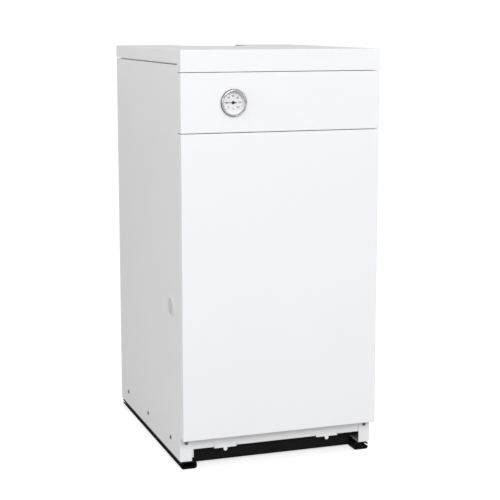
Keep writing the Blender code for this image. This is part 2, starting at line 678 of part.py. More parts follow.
def make_gas_valve(parent):
    low, high = (-0.085, VALVE_FRONT, 0.298), (0.025, -0.166, 0.362)
    valve = box("gas_valve", low, high)
    boss = rod("boss", 0.0165, (0, GAS_Y, GAS_Z), (1, 0, 0), -0.097, 0.037, sides=28)
    cap = rod("cap", 0.0210, (-0.030, -0.192, 0), (0, 0, -1), -0.300, -0.284, sides=28)
    cover = box("cover", (-0.079, VALVE_FRONT - 0.003, 0.304), (0.019, VALVE_FRONT + 0.001, 0.356))
    join(valve, boss, cap, cover)
    cut(valve, rod("inlet", 0.0085, (0, GAS_Y, GAS_Z), (1, 0, 0), -0.110, -0.080, sides=24))
    face = VALVE_FRONT - 0.003
    cut(valve, rod("knob_hole", 0.0045, (KNOB_X, face, KNOB_Z), (0, 1, 0), -0.01, 0.012, sides=20))
    for sign in (-1, 1):
        spot = (KNOB_X + sign * BUTTON_REACH, face, BUTTON_Z)
        cut(valve, rod("button_hole", BUTTON_R + 0.0004, spot, (0, 1, 0), -0.01, 0.014, sides=24))
    finish(valve, parent, (0.55, 0.56, 0.58), 0.4, 0.7, True)

    outline = []
    for i in range(48):
        angle = 2 * math.pi * i / 48
        radius = KNOB_R - 0.0008 * (0.5 - 0.5 * math.cos(12 * angle))
        outline.append((KNOB_X + radius * math.cos(angle), KNOB_Z + radius * math.sin(angle)))
    knob = extruded("thermostat_knob", outline, "Y", face - 0.0185, face - 0.0005)
    shaft = rod("shaft", 0.0041, (KNOB_X, face, KNOB_Z), (0, 1, 0), -0.002, 0.010, sides=20)
    pointer = box("pointer", (KNOB_X - 0.0012, face - 0.0200, KNOB_Z + 0.004),
                  (KNOB_X + 0.0012, face - 0.0180, KNOB_Z + KNOB_R - 0.002))
    set_origin(join(knob, shaft, pointer), (KNOB_X, face, KNOB_Z))
    finish(knob, parent, (0.85, 0.85, 0.85), 0.4, round_piece=True)

    profile = [(0, -0.006), (BUTTON_R, -0.006), (BUTTON_R, BUTTON_OUT - 0.001), (BUTTON_R - 0.001, BUTTON_OUT),
               (0, BUTTON_OUT)]
    colours = {"pilot_button": (-1, (0.80, 0.80, 0.80)), "off_button": (1, (0.60, 0.04, 0.03))}
    for name, (sign, colour) in colours.items():
        spot = (KNOB_X + sign * BUTTON_REACH, face, BUTTON_Z)
        button = turned(name, profile, spot, (0, -1, 0), sides=24)
        set_origin(button, spot)
        finish(button, parent, colour, 0.4, round_piece=True)


def make_gas_union(parent):
    start, end = 0.0973, 0.165
    profile = [(0.0080, start), (0.0200, start), (0.0200, start + 0.016), (0.0105, start + 0.018),
               (0.0105, end - 0.020), (0.0165, end - 0.020), (0.0165, end), (0.0080, end)]
    union = turned("gas_inlet_union", profile, (0, GAS_Y, GAS_Z), (-1, 0, 0), closed=True, sides=24)
    finish(union, parent, BRASS, 0.35, 0.9, True)


def make_igniter(parent):
    """Push-button spark generator on a small bracket on top of the gas valve."""
    bracket = box("piezo_igniter", (-0.018, -0.214, 0.3623), (0.018, -0.182, 0.3638))
    upright = box("upright", (-0.018, -0.2140, 0.3623), (0.018, -0.2125, PIEZO_Z + 0.016))
    barrel = rod("barrel", 0.0100, (PIEZO_X, 0, PIEZO_Z), (0, 1, 0), -0.231, -0.172, sides=24)
    nut = rod("nut", 0.0140, (PIEZO_X, 0, PIEZO_Z), (0, 1, 0), -0.220, -0.2135, sides=6)
    join(bracket, upright, barrel, nut)
    cut(bracket, rod("bore", 0.0075, (PIEZO_X, 0, PIEZO_Z), (0, 1, 0), -0.240, -0.212, sides=24))
    finish(bracket, parent, BLACK, 0.45, round_piece=True)
    profile = [(0, 0.008), (0.0070, 0.008), (0.0070, -0.010), (0.0060, -0.011), (0, -0.011)]
    spot = (PIEZO_X, -0.231, PIEZO_Z)
    button = turned("piezo_button", profile, spot, (0, 1, 0), sides=24)
    set_origin(button, spot)
    finish(button, parent, (0.60, 0.04, 0.03), 0.4, round_piece=True)


def make_pilot_set(parent):
    """Pilot burner, thermocouple and spark electrode, each with its own lead."""
    middle = -BAR_PITCH / 2
    valve_bottom = 0.298 - GAP
    plate = PLATE_FACE - 0.020
    routes = {
        "pilot_burner": (middle, [(-0.060, -0.205, valve_bottom), (-0.060, -0.205, 0.270), (-0.055, -0.190, 0.230),
                                  (middle, -0.160, PILOT_Z + 0.003)], 0.0020, 0.0055, 0.030),
        "thermocouple": (middle - 0.013, [(-0.075, -0.180, valve_bottom), (-0.076, -0.180, 0.265),
                                          (-0.070, -0.170, 0.225), (middle - 0.013, -0.150, PILOT_Z + 0.003)],
                         0.0014, 0.0030, 0.034),
        "ignition_electrode": (middle + 0.013, [(PIEZO_X, -0.1717, PIEZO_Z), (PIEZO_X, -0.160, PIEZO_Z),
                                                (0.012, -0.148, 0.372), (0.024, -0.142, 0.330),
                                                (0.010, -0.142, 0.250),
                                                (middle + 0.013, -0.146, PILOT_Z + 0.004)],
                               0.0018, 0.0034, 0.040),
    }
    colours = {"pilot_burner": COPPER, "thermocouple": COPPER, "ignition_electrode": (0.85, 0.83, 0.80)}
    for name, (x, corners, lead_r, head_r, reach) in routes.items():
        inside = PLATE_BACK + 0.004
        ends = [(x, plate, PILOT_Z), (x, inside, PILOT_Z)]
        path = smooth_path(corners + ends, 3)
        radii = [lead_r] * len(path)
        for depth, radius in ((0.0005, head_r), (reach - 0.002, head_r), (reach, head_r * 0.5)):
            path.append(Vector((x, inside + depth, PILOT_Z)))
            radii.append(radius)
        piece = swept(name, path, radii, sides=8)
        finish(piece, parent, colours[name], 0.4, 0.6, True)


def make_sight_flap(parent):
    """A drop-shaped flap that hangs over the sight hole and swings aside."""
    pivot = SIGHT_Z + FLAP_PIVOT
    tangent = math.degrees(math.asin((0.018 - 0.006) / FLAP_PIVOT))
    outline = arc((SIGHT_X, SIGHT_Z), 0.018, 180 - tangent, 360 + tangent, 16)
    outline += arc((SIGHT_X, pivot), 0.006, tangent, 180 - tangent, 6)
    face = PLATE_FACE - GAP
    flap = extruded("sight_flap", outline, "Y", face - 0.0016, face)
    cut(flap, rod("pivot_hole", 0.0030 + GAP, (SIGHT_X, face, pivot), (0, 1, 0), -0.01, 0.01, sides=16))
    set_origin(flap, (SIGHT_X, PLATE_FACE, pivot))
    finish(flap, parent, STAINLESS, 0.35, 0.9)


# --- Thermometer ----------------------------------------------------------------------

def make_thermometer(parent):
    spot = (GAUGE_X, FRONT, GAUGE_Z)
    outwards = (0, -1, 0)
    bore, inside = DIAL_R + GAP, DIAL_R - 0.0025
    case_profile = [(0, -0.030), (CASE_R, -0.030), (CASE_R, GAP), (GAUGE_R, GAP), (GAUGE_R, 0.0020), (bore, 0.0020),
                    (bore, -0.0056), (inside, -0.0056), (inside, -0.0285), (0, -0.0285)]
    case = turned("thermometer_case", case_profile, spot, outwards, sides=32)
    finish(case, parent, BLACK, 0.5, round_piece=True)
    lip = DIAL_R - 0.0007
    bezel_profile = [(BEZEL_R, 0.0023), (BEZEL_R, 0.0048), (BEZEL_R - 0.0008, GAUGE_OUT - 0.0004),
                     (BEZEL_R - 0.0016, GAUGE_OUT), (BEZEL_R - 0.0024, GAUGE_OUT - 0.0003), (lip, 0.0042),
                     (lip, 0.0023)]
    bezel = turned("thermometer_bezel", bezel_profile, spot, outwards, closed=True, sides=40)
    finish(bezel, parent, CHROME, 0.12, 1.0, True)
    dial = turned("thermometer_dial", [(0, -0.0053), (DIAL_R, -0.0053), (DIAL_R, -0.0043), (0, -0.0043)],
                  spot, outwards, sides=32)
    finish(dial, parent, (0.86, 0.86, 0.87), 0.5, round_piece=True)
    glass = turned("thermometer_glass", [(0, 0.0005), (DIAL_R, 0.0005), (DIAL_R, 0.0020), (0, 0.0020)],
                   spot, outwards, sides=32)
    finish(glass, parent, (0.9, 0.95, 0.95), 0.05, round_piece=True, alpha=0.3)

    hub, half_blade = 0.0032, 0.0005
    spread = math.degrees(math.asin(half_blade / hub))
    tail_spread = 28
    outline = [(-0.0190, half_blade * 0.4), (-0.0190, -half_blade * 0.4)]
    outline += arc((0, 0), hub, 180 + spread, 360 - tail_spread, 8)
    outline += [(0.0068, -0.0004), (0.0068, 0.0004)]
    outline += arc((0, 0), hub, tail_spread, 180 - spread, 8)
    outline = [(GAUGE_X + x, GAUGE_Z + z) for x, z in outline]
    needle = extruded("thermometer_needle", outline, "Y", FRONT + 0.0028, FRONT + 0.0038)
    set_origin(needle, spot)
    finish(needle, parent, BLACK, 0.4)

    back = FRONT + 0.0303
    pocket_mouth = BODY_FRONT - 0.034 - GAP
    route = [(GAUGE_X, back, GAUGE_Z), (GAUGE_X, back + 0.018, GAUGE_Z), (GAUGE_X + 0.014, back + 0.036, GAUGE_Z - 0.030),
             (GAUGE_X + 0.062, back + 0.050, GAUGE_Z - 0.090), (POCKET_X - 0.016, pocket_mouth - 0.030, POCKET_Z + 0.030),
             (POCKET_X, pocket_mouth - 0.014, POCKET_Z + 0.002), (POCKET_X, pocket_mouth, POCKET_Z)]
    path = smooth_path(route, 4)
    capillary = swept("thermometer_capillary", path, [0.0013] * len(path), sides=6)
    finish(capillary, parent, COPPER, 0.35, 0.9, True)


def build():
    clear_scene()
    casing = group("casing")
    make_lid(casing)
    make_fascia(casing)
    make_door(casing)
    make_hinge_brackets(casing)
    make_side_panel(casing, "left_side_panel", -1)
    make_side_panel(casing, "right_side_panel", 1)
    make_side_fittings(casing)
    make_rear_panel(casing)
    make_front_rail(casing)
    base = group("base")
    make_skid(base, "skid_left", -1)
    make_skid(base, "skid_right", 1)
    make_beam(base, "front_crossmember", SIDE_FRONT + BEAM_SET_BACK, 1)
    make_beam(base, "rear_crossmember", SIDE_REAR - BEAM_SET_BACK, -1)
    make_heat_shield(base)
    make_cradle(base, "cradle_left", -1)
    make_cradle(base, "cradle_right", 1)
    shell = group("shell")
    make_boiler_body(shell)
    make_baffles(shell)
    make_jacket(shell)
    make_flue_hood(shell)
    make_water_fittings(shell)
    burner_unit = group("burner_unit")
    make_burner_plate(burner_unit)
    make_burner_bars(burner_unit)
    make_gas_train(burner_unit)
    make_gas_valve(burner_unit)
    make_gas_union(burner_unit)
    make_igniter(burner_unit)
    make_pilot_set(burner_unit)
    make_sight_flap(burner_unit)
    gauge = group("thermometer")
    make_thermometer(gauge)


build()
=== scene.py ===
"""Looks of the floor-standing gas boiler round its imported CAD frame: metres, +Z up, front towards -Y."""
import json
import math

import bmesh
import bpy
from mathutils import Matrix, Vector, noise

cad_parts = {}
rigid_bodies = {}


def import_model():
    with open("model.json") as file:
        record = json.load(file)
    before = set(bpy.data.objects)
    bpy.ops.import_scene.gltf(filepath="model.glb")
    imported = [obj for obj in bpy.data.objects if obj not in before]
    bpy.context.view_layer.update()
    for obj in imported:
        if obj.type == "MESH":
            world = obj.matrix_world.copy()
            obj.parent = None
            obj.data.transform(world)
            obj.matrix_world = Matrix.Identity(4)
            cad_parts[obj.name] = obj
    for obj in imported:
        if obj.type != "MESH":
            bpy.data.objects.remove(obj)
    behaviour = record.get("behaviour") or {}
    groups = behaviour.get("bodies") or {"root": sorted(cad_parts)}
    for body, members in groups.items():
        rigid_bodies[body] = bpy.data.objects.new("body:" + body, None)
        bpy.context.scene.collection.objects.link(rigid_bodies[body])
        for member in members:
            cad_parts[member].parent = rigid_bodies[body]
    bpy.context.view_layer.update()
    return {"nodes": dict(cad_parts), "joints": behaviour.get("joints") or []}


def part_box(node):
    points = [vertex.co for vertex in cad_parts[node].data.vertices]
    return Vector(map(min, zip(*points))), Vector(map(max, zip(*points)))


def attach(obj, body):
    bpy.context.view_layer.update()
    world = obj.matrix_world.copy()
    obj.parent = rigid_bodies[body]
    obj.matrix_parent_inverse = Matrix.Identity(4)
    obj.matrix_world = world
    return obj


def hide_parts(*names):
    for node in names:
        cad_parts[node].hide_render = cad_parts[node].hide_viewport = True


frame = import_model()

ACROSS, BACKWARDS, FORWARDS, UP = (1, 0, 0), (0, 1, 0), (0, -1, 0), (0, 0, 1)
SIDES = (("left", -1), ("right", 1))
WATER_STUBS = ("flow_stub", "return_stub")
FAR = 1                    # past the whole object, for cutters
THROUGH = 0.01             # a hole's cutter reaches this far on both sides of the sheet
BELOW_LID = 0.7

# Sheet metal
SHEET = 0.0015
STRIP_BEND = 0.0024
BEND = 0.0017              # outside radius of a fold
PAINTED_EDGE = 0.00025     # the radius that paint leaves on a cut edge
PLATED_EDGE = 0.0003
HEAVY_EDGE = 0.0004
RETURN = 0.023             # depth of the folded edges of lid, fascia and door
LID_SKIRT = 0.027
NOTCH_R = 0.078
SKID_WALL = 0.003
SKID_BEND = 0.006
BEAM_WALL = 0.0025
BEAM_BEND = 0.005
CRADLE_BEND = 0.004
CRADLE_WALL_SHARE = 0.61
BRACKET_X = 0.1125
BRACKET_HALF = 0.024
BRACKET_DROP = 0.0025
BRACKET_LAP = 0.002        # the bracket reaches this far up behind the rail
TAB_HALF = 0.004
TAB_DROP = 0.007
UPSTAND_IN = 0.010         # the side panels' upstand stands this far in from the outside
UPSTAND_HEIGHT = 0.030
UPSTAND_FRONT = 0.015
UPSTAND_REAR = 0.012
PLUG_HOLE_R = 0.019
HINGE_SLOT_IN = 0.010
HINGE_SLOT_BELOW = 0.0165
HINGE_SLOT_ABOVE = 0.0075
REAR_FLANGE_IN = 0.0235
REAR_PIPE_HOLE_R = 0.027

# Fasteners
SCREW_SET_BACK = 0.070     # outer side screws, from the panel's front and rear edges
POST_SCREW = (0.197, 0.056)
POST_SCREW_R = 0.0040
SCREW_HEAD_R = 0.0044
SCREW_HEAD_HEIGHT = 0.0019
REAR_SCREWS = 4
REAR_SCREW_IN = 0.008      # from the rear panel's side edges
REAR_SCREW_END = 0.045     # from its top and bottom edges

# Thermometer
GAUGE_HOLE_R = 0.0255
NUMBER_R = 0.0133
NUMBER_SIZE = 0.0048
UNIT_DROP = 0.0118
TICK_R = 0.0208
MAIN_TICK = (0.0029, 0.00028)      # length and half width
SMALL_TICK = (0.0016, 0.00012)
PRINT_HALF = 0.00004               # half the height of raised print
SCALE_FIRST, SCALE_LAST, SCALE_STEP = 0, 120, 20
SCALE_START = 225                  # degrees, anticlockwise from 3 o'clock
SCALE_SWEEP = 270

# Boiler shell
HOOD_SHOULDER = 0.700
HOOD_SCREWS = ((-0.066, 0.655), (-0.066, 0.693), (0.060, 0.774), (0.230, 0.774), (0.230, 0.712),
               (0.176, 0.655))
COLLAR_BORE = 0.062
TAPE_LEVELS = (0.418, 0.606)
TAPE_HALF = 0.024
TAPE_OUT, TAPE_IN = 0.0004, 0.0006
LEVER_REACH = 0.034

# Burner unit
BARS = ("burner_bar_1", "burner_bar_2", "burner_bar_3")
PLATE_SHEET = 0.002
PLATE_NUT_IN = 0.008
FLAP_DROP = 0.023          # from the flap's stud down to the sight hole
FLAP_R, FLAP_EYE_R = 0.018, 0.006
SIGHT_R = 0.014
PILOT_X, PILOT_Z = -0.0375, 0.203
PILOT_SLOT = (0.019, 0.007)        # half width and half height
BAR_HALF = 0.015
BAR_WALL = 0.0012
BAR_HEAD_FRONT = -0.050
PORTS = 26
RAIL_R = 0.010
RAIL_FOOT_X = 0.0375
JET_GAP = 0.0003
DROP_X = 0.088
PIPE_R = 0.0075
KNOB_R = 0.019
KNOB_FLUTES = 24
KNOB_NUMBER_R = 0.0150
BUTTON_HOLE_R = 0.0084


# --- Mesh tools -----------------------------------------------------------------------

def linked(name, data):
    """A new object in the scene."""
    made = bpy.data.objects.new(name, data)
    bpy.context.scene.collection.objects.link(made)
    return made


def shade(made, sharp=35):
    made.data.shade_smooth()
    made.data.set_sharp_from_angle(angle=math.radians(sharp))


def mesh_object(name, form, sharp=35):
    """An object from a bmesh, smooth-shaded except at its sharp edges."""
    bmesh.ops.recalc_face_normals(form, faces=form.faces)
    mesh = bpy.data.meshes.new(name)
    form.to_mesh(mesh)
    form.free()
    made = linked(name, mesh)
    shade(made, sharp)
    return made


def modify(made, kind, **settings):
    """Add a modifier with these settings."""
    step = made.modifiers.new(kind.lower(), kind)
    for setting, value in settings.items():
        setattr(step, setting, value)


def applied(made, sharp=35):
    """Apply the object's modifiers to its mesh."""
    bpy.context.view_layer.update()
    result = made.evaluated_get(bpy.context.evaluated_depsgraph_get())
    mesh = bpy.data.meshes.new_from_object(result)
    mesh.name = made.name
    made.modifiers.clear()
    made.data = mesh
    shade(made, sharp)
    return made


def combine(target, tools, operation):
    for tool in tools:
        modify(target, "BOOLEAN", operation=operation, solver="EXACT", object=tool)
    applied(target)
    for tool in tools:
        bpy.data.objects.remove(tool, do_unlink=True)
    return target


def cut(target, *tools):
    return combine(target, tools, "DIFFERENCE")


def join(target, *tools):
    return combine(target, tools, "UNION")


def soften(made, width, segments=2):
    """Round the object's sharp edges."""
    modify(made, "BEVEL", width=width, segments=segments, limit_method="ANGLE", angle_limit=math.radians(40),
           use_clamp_overlap=True)
    applied(made, 50)
    modify(made, "WEIGHTED_NORMAL", keep_sharp=True)
    return made


def rounded(points, radius, steps=3, closed=False):
    """An outline with its corners turned into curves."""
    points = [Vector(p) for p in points]
    smooth = []
    for i, corner in enumerate(points):
        if not closed and i in (0, len(points) - 1):
            smooth.append(tuple(corner))
            continue
        before = points[i - 1] - corner
        after = points[(i + 1) % len(points)] - corner
        reach = min(radius, before.length * 0.45, after.length * 0.45)
        first = corner + before.normalized() * reach
        last = corner + after.normalized() * reach
        for k in range(steps + 1):
            t = k / steps
            smooth.append(tuple(first * (1 - t) ** 2 + corner * (2 * t * (1 - t)) + last * t ** 2))
    return smooth


def arc(centre, radius, first, last, steps):
    """Points on a circle between two angles in degrees."""
    angles = [math.radians(first + (last - first) * i / steps) for i in range(steps + 1)]
    return [(centre[0] + radius * math.cos(a), centre[1] + radius * math.sin(a)) for a in angles]


def quarter_turn(steps=8):
    """Angles from 0 to 90 degrees, in radians."""
    return [math.radians(90 * i / steps) for i in range(steps + 1)]


def box_form(low, high):
    form = bmesh.new()
    bmesh.ops.create_cube(form, size=1.0)
    low, high = Vector(low), Vector(high)
    for vert in form.verts:
        vert.co = Vector(low[i] + (vert.co[i] + 0.5) * (high[i] - low[i]) for i in range(3))
    return form


def block(low, high, name="cutter"):
    return mesh_object(name, box_form(low, high))


def lifted(point, along, place):
    """A flat point made three-dimensional, at a place along the missing axis."""
    spot = list(point)
    spot.insert(along, place)
    return spot


def prism(name, outline, axis, start, end):
    """A flat outline pushed along X, Y or Z; its points are the other two coordinates."""
    form = bmesh.new()
    along = "XYZ".index(axis)
    verts = [form.verts.new(lifted(point, along, start)) for point in outline]
    pushed = bmesh.ops.extrude_face_region(form, geom=[form.faces.new(verts)])["geom"]
    shift = Vector((0, 0, 0))
    shift[along] = end - start
    bmesh.ops.translate(form, vec=shift, verts=[g for g in pushed if isinstance(g, bmesh.types.BMVert)])
    return mesh_object(name, form)


def lathe(name, profile, centre, direction, closed=False, sides=96, fillet=0.0003):
    """A profile of (radius, height) points turned about an axis; a closed one makes a ring."""
    if fillet:
        profile = rounded(profile, fillet, closed=closed)
    form = bmesh.new()
    frame_turn = Vector(UP).rotation_difference(Vector(direction)).to_matrix()
    rings = []
    for radius, height in profile:
        ring = []
        for i in range(1 if radius < 1e-6 else sides):
            angle = 2 * math.pi * i / sides
            spot = Vector((radius * math.cos(angle), radius * math.sin(angle), height))
            ring.append(form.verts.new(Vector(centre) + frame_turn @ spot))
        rings.append(ring)
    pairs = list(zip(rings, rings[1:]))
    if closed:
        pairs.append((rings[-1], rings[0]))
    for lower, upper in pairs:
        for i in range(sides):
            after = (i + 1) % sides
            corners = [lower[i % len(lower)], lower[after % len(lower)],
                       upper[after % len(upper)], upper[i % len(upper)]]
            if len(set(corners)) > 2:
                form.faces.new(list(dict.fromkeys(corners)))
    return mesh_object(name, form)


def rod(radius, start, end, centre, direction, sides=96, name="rod"):
    """A plain cylinder between two heights above its centre."""
    profile = [(0, start), (radius, start), (radius, end), (0, end)]
    return lathe(name, profile, centre, direction, False, sides, 0)


def hole(radius, centre, direction, sides=96):
    """A cutter that goes through a sheet at its centre."""
    return rod(radius, -THROUGH, THROUGH, centre, direction, sides)


def folded(name, low, high, open_side, bend=BEND, wall=SHEET):
    """A sheet box with one side open and round folds; open_side is such as '+Y'."""
    form = box_form(low, high)
    outwards = Vector((0, 0, 0))
    outwards["XYZ".index(open_side[1])] = 1 if open_side[0] == "+" else -1
    form.normal_update()
    opened = [f for f in form.faces if f.normal.dot(outwards) > 0.9]
    rim = set(opened[0].edges)
    bmesh.ops.delete(form, geom=opened, context="FACES_ONLY")
    folds = [e for e in form.edges if e not in rim]
    bmesh.ops.bevel(form, geom=folds, offset=bend, segments=5, profile=0.5, affect="EDGES")
    made = mesh_object(name, form)
    modify(made, "SOLIDIFY", thickness=wall, offset=-1, use_even_offset=True)
    return applied(made)


def bent_strip(name, path, axis, start, end, wall=SHEET, bend=STRIP_BEND):
    """A sheet folded along an open outline, pushed along an axis; the wall grows to the path's left."""
    form = bmesh.new()
    along = "XYZ".index(axis)
    path = rounded(path, bend, steps=5)
    rows = [[form.verts.new(lifted(point, along, place)) for point in path] for place in (start, end)]
    for i in range(len(path) - 1):
        form.faces.new([rows[0][i], rows[0][i + 1], rows[1][i + 1], rows[1][i]])
    mesh = bpy.data.meshes.new(name)
    form.to_mesh(mesh)
    form.free()
    made = linked(name, mesh)
    first = Vector(path[1]) - Vector(path[0])
    left = Vector(lifted((-first.y, first.x), along, 0))
    modify(made, "SOLIDIFY", thickness=wall, offset=1 if mesh.polygons[0].normal.dot(left) > 0 else -1,
           use_even_offset=True)
    return applied(made)


def tube(name, path, radius, sides=24):
    """A round bar or wire along points."""
    path = [Vector(p) for p in path]
    form = bmesh.new()
    across = (path[1] - path[0]).orthogonal().normalized()
    rings = []
    for i, centre in enumerate(path):
        heading = (path[min(i + 1, len(path) - 1)] - path[max(i - 1, 0)]).normalized()
        across = (across - heading * across.dot(heading)).normalized()
        other = heading.cross(across)
        angles = [2 * math.pi * k / sides for k in range(sides)]
        rings.append([form.verts.new(centre + radius * (across * math.cos(a) + other * math.sin(a)))
                      for a in angles])
    for lower, upper in zip(rings, rings[1:]):
        for k in range(sides):
            after = (k + 1) % sides
            form.faces.new([lower[k], lower[after], upper[after], upper[k]])
    form.faces.new(list(reversed(rings[0])))
    form.faces.new(rings[-1])
    return mesh_object(name, form)


def smooth_path(points, steps):
    """Points along a Catmull-Rom curve through the given ones."""
    points = [Vector(p) for p in points]
    padded = [2 * points[0] - points[1]] + points + [2 * points[-1] - points[-2]]
    path = []
    for a, b, c, d in zip(padded, padded[1:], padded[2:], padded[3:]):
        for step in range(steps):
            t = step / steps
            path.append(0.5 * (2 * b + (c - a) * t + (2 * a - 5 * b + 4 * c - d) * t ** 2
                               + (3 * b - a - 3 * c + d) * t ** 3))
    path.append(points[-1])
    return path


def one_piece(name, parts):
    """Several meshes as one object, each still its own closed body."""
    form = bmesh.new()
    for part in parts:
        form.from_mesh(part.data)
        bpy.data.objects.remove(part)
    return mesh_object(name, form)


def inset(outline, distance):
    """A convex outline, given anticlockwise, moved inwards by a distance."""
    moved = []
    count = len(outline)
    for i in range(count):
        a, b, c = (Vector(outline[(i + k - 1) % count]) for k in range(3))
        before, after = (b - a).normalized(), (c - b).normalized()
        inward_before = Vector((-before.y, before.x))
        inward_after = Vector((-after.y, after.x))
        blend = inward_before + inward_after
        moved.append(tuple(b + blend * distance / (1 + inward_before.dot(inward_after))))
    return moved


def threads(radius, depth, start, end, pitch=0.0023):
    """Profile points of a screw thread between two heights."""
    count = max(2, round(abs(end - start) / pitch))
    step = (end - start) / count
    points = []
    for i in range(count):
        points += [(radius - depth, start + step * (i + 0.1)), (radius, start + step * (i + 0.6))]
    return points


def middle(node):
    low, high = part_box(node)
    return (low + high) / 2


def half_width(node):
    low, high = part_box(node)
    return (high.x - low.x) / 2


def joint_axis(name):
    return next(Vector(joint["pos_m"]) for joint in frame["joints"] if joint["name"] == name)


# --- Materials ------------------------------------------------------------------------

PATTERN_RANGE = (0.3, 0.7)         # where most of a noise pattern's values lie
FINISHES = {}


def shader_node(tree, kind, **values):
    """A new node with these values on its sockets."""
    made = tree.nodes.new("ShaderNode" + kind)
    for socket, value in values.items():
        made.inputs[socket.replace("_", " ")].default_value = value
    return made


def texture(tree, kind, scale, stretch=(1, 1, 1), detail=2.0):
    """A noise or cell pattern fixed to the piece, with this many features per metre."""
    place_on_piece = shader_node(tree, "TexCoord")
    mapping = shader_node(tree, "Mapping", Scale=[scale * s for s in stretch])
    tree.links.new(place_on_piece.outputs["Object"], mapping.inputs["Vector"])
    if kind == "noise":
        pattern = shader_node(tree, "TexNoise", Scale=1.0, Detail=detail)
    else:
        pattern = shader_node(tree, "TexVoronoi", Scale=1.0)
    tree.links.new(mapping.outputs["Vector"], pattern.inputs["Vector"])
    return pattern


def material(name, dark, light, rough, patch, grain, *bumps, kind="noise", stretch=(1, 1, 1), **sockets):
    """A finish whose colour, roughness and surface vary over the piece at real scales.

    patch and grain are the scales of the colour and roughness patterns, in features per metre.
    Each bump is a scale and a height, in features per metre and metres.
    """
    made = bpy.data.materials.new(name)
    made.use_nodes = True
    tree = made.node_tree
    shader = tree.nodes["Principled BSDF"]
    colours = shader_node(tree, "ValToRGB")
    for end, position, colour in zip(colours.color_ramp.elements, PATTERN_RANGE, (dark, light)):
        end.position = position
        end.color = (*colour, 1)
    pattern = texture(tree, kind, patch, stretch)
    if kind == "cells":
        tone = shader_node(tree, "SeparateColor")
        tree.links.new(pattern.outputs["Color"], tone.inputs["Color"])
        tree.links.new(tone.outputs["Red"], colours.inputs["Fac"])
    else:
        tree.links.new(pattern.outputs["Fac"], colours.inputs["Fac"])
    tree.links.new(colours.outputs["Color"], shader.inputs["Base Color"])
    roughness = texture(tree, "noise", grain, stretch, 4.0)
    spread = shader_node(tree, "MapRange", From_Min=PATTERN_RANGE[0], From_Max=PATTERN_RANGE[1],
                         To_Min=rough[0], To_Max=rough[1])
    tree.links.new(roughness.outputs["Fac"], spread.inputs["Value"])
    tree.links.new(spread.outputs["Result"], shader.inputs["Roughness"])
    shaded = shader
    for scale, height in reversed(bumps):
        bump = shader_node(tree, "Bump", Distance=height)
        relief = texture(tree, kind, scale, stretch)
        tree.links.new(relief.outputs["Fac" if kind == "noise" else "Distance"], bump.inputs["Height"])
        tree.links.new(bump.outputs["Normal"], shaded.inputs["Normal"])
        shaded = bump
    for socket, value in sockets.items():
        shader.inputs[socket.replace("_", " ")].default_value = value
    FINISHES[name] = made
    return made


def grey(value, tint=0.0):
    return (value, value, value + tint)


material("white_paint", (0.846, 0.850, 0.858), (0.858, 0.862, 0.870), (0.29, 0.35), 3, 30, (180, 0.000004))
# The same white paint a little darker: painted shade for the side panels and the rail under the door, which
# get less light than the front
material("body_paint", (0.826, 0.828, 0.832), (0.838, 0.840, 0.844), (0.29, 0.35), 3, 30, (180, 0.000004))
# Grey for the hole plug's cap: painted shade of the recess in the plug's middle
material("plug_painted_shade_grey", grey(0.60, -0.01), grey(0.64, -0.01), (0.45, 0.55), 60, 300, (1600, 0.00003))
material("black_paint", grey(0.003), grey(0.006, 0.001), (0.40, 0.58), 25, 110, (600, 0.00005),
         Specular_IOR_Level=0.15)
material("galvanised_sheet", (0.56, 0.575, 0.59), (0.64, 0.65, 0.66), (0.34, 0.46), 130, 70, (130, 0.00002),
         kind="cells", Metallic=0.92)
material("boiler_steel", (0.085, 0.088, 0.094), (0.125, 0.128, 0.132), (0.48, 0.68), 14, 60, (220, 0.00012),
         Metallic=0.35)
material("foil_insulation", grey(0.72), grey(0.82), (0.30, 0.44), 30, 45, (38, 0.0005), (130, 0.00012),
         Metallic=1.0)
material("foil_tape", grey(0.78), grey(0.86), (0.32, 0.42), 20, 60, (60, 0.00006), Metallic=1.0)
material("dark_steel", grey(0.045), grey(0.075), (0.34, 0.48), 40, 120, (400, 0.00005), Metallic=0.6)
material("stainless_steel", (0.52, 0.50, 0.47), (0.64, 0.62, 0.59), (0.20, 0.36), 20, 40, (300, 0.00002),
         stretch=(1, 0.06, 1), Metallic=1.0)
material("zinc_screw", (0.62, 0.62, 0.60), (0.76, 0.76, 0.74), (0.20, 0.34), 300, 400, (900, 0.00002),
         Metallic=1.0)
material("dark_screw", grey(0.16), grey(0.24), (0.24, 0.36), 300, 400, (900, 0.00002), Metallic=1.0)
material("brass", (0.66, 0.45, 0.16), (0.80, 0.58, 0.25), (0.22, 0.38), 60, 160, (700, 0.00003),
         Metallic=1.0)
material("copper", (0.62, 0.27, 0.14), (0.80, 0.40, 0.24), (0.22, 0.40), 45, 140, (500, 0.00003),
         Metallic=1.0)
material("ceramic_white", (0.78, 0.75, 0.68), (0.86, 0.84, 0.79), (0.18, 0.30), 80, 200, (500, 0.00003))
material("valve_casting", (0.50, 0.51, 0.53), (0.62, 0.63, 0.65), (0.36, 0.54), 50, 300, (1300, 0.00010),
         Metallic=0.85)
material("grey_plastic", grey(0.50), grey(0.57), (0.34, 0.46), 60, 300, (1600, 0.00005))
material("red_plastic", (0.44, 0.012, 0.012), (0.55, 0.022, 0.018), (0.28, 0.40), 60, 300, (1600, 0.00004))
material("black_plastic", grey(0.012), grey(0.020), (0.34, 0.50), 60, 300, (1600, 0.00006))
material("dial_face", (0.960, 0.950, 0.970), (0.980, 0.970, 0.990), (0.42, 0.55), 90, 300, (1500, 0.00002))
material("bezel_chrome", grey(0.62, 0.01), grey(0.70, 0.01), (0.04, 0.10), 90, 120, (400, 0.000004),
         Metallic=1.0)
material("gauge_glass", grey(0.04), grey(0.06), (0.01, 0.04), 40, 80, Alpha=0.045, IOR=1.5)
material("dial_print", grey(0.006), grey(0.012), (0.40, 0.55), 200, 500)


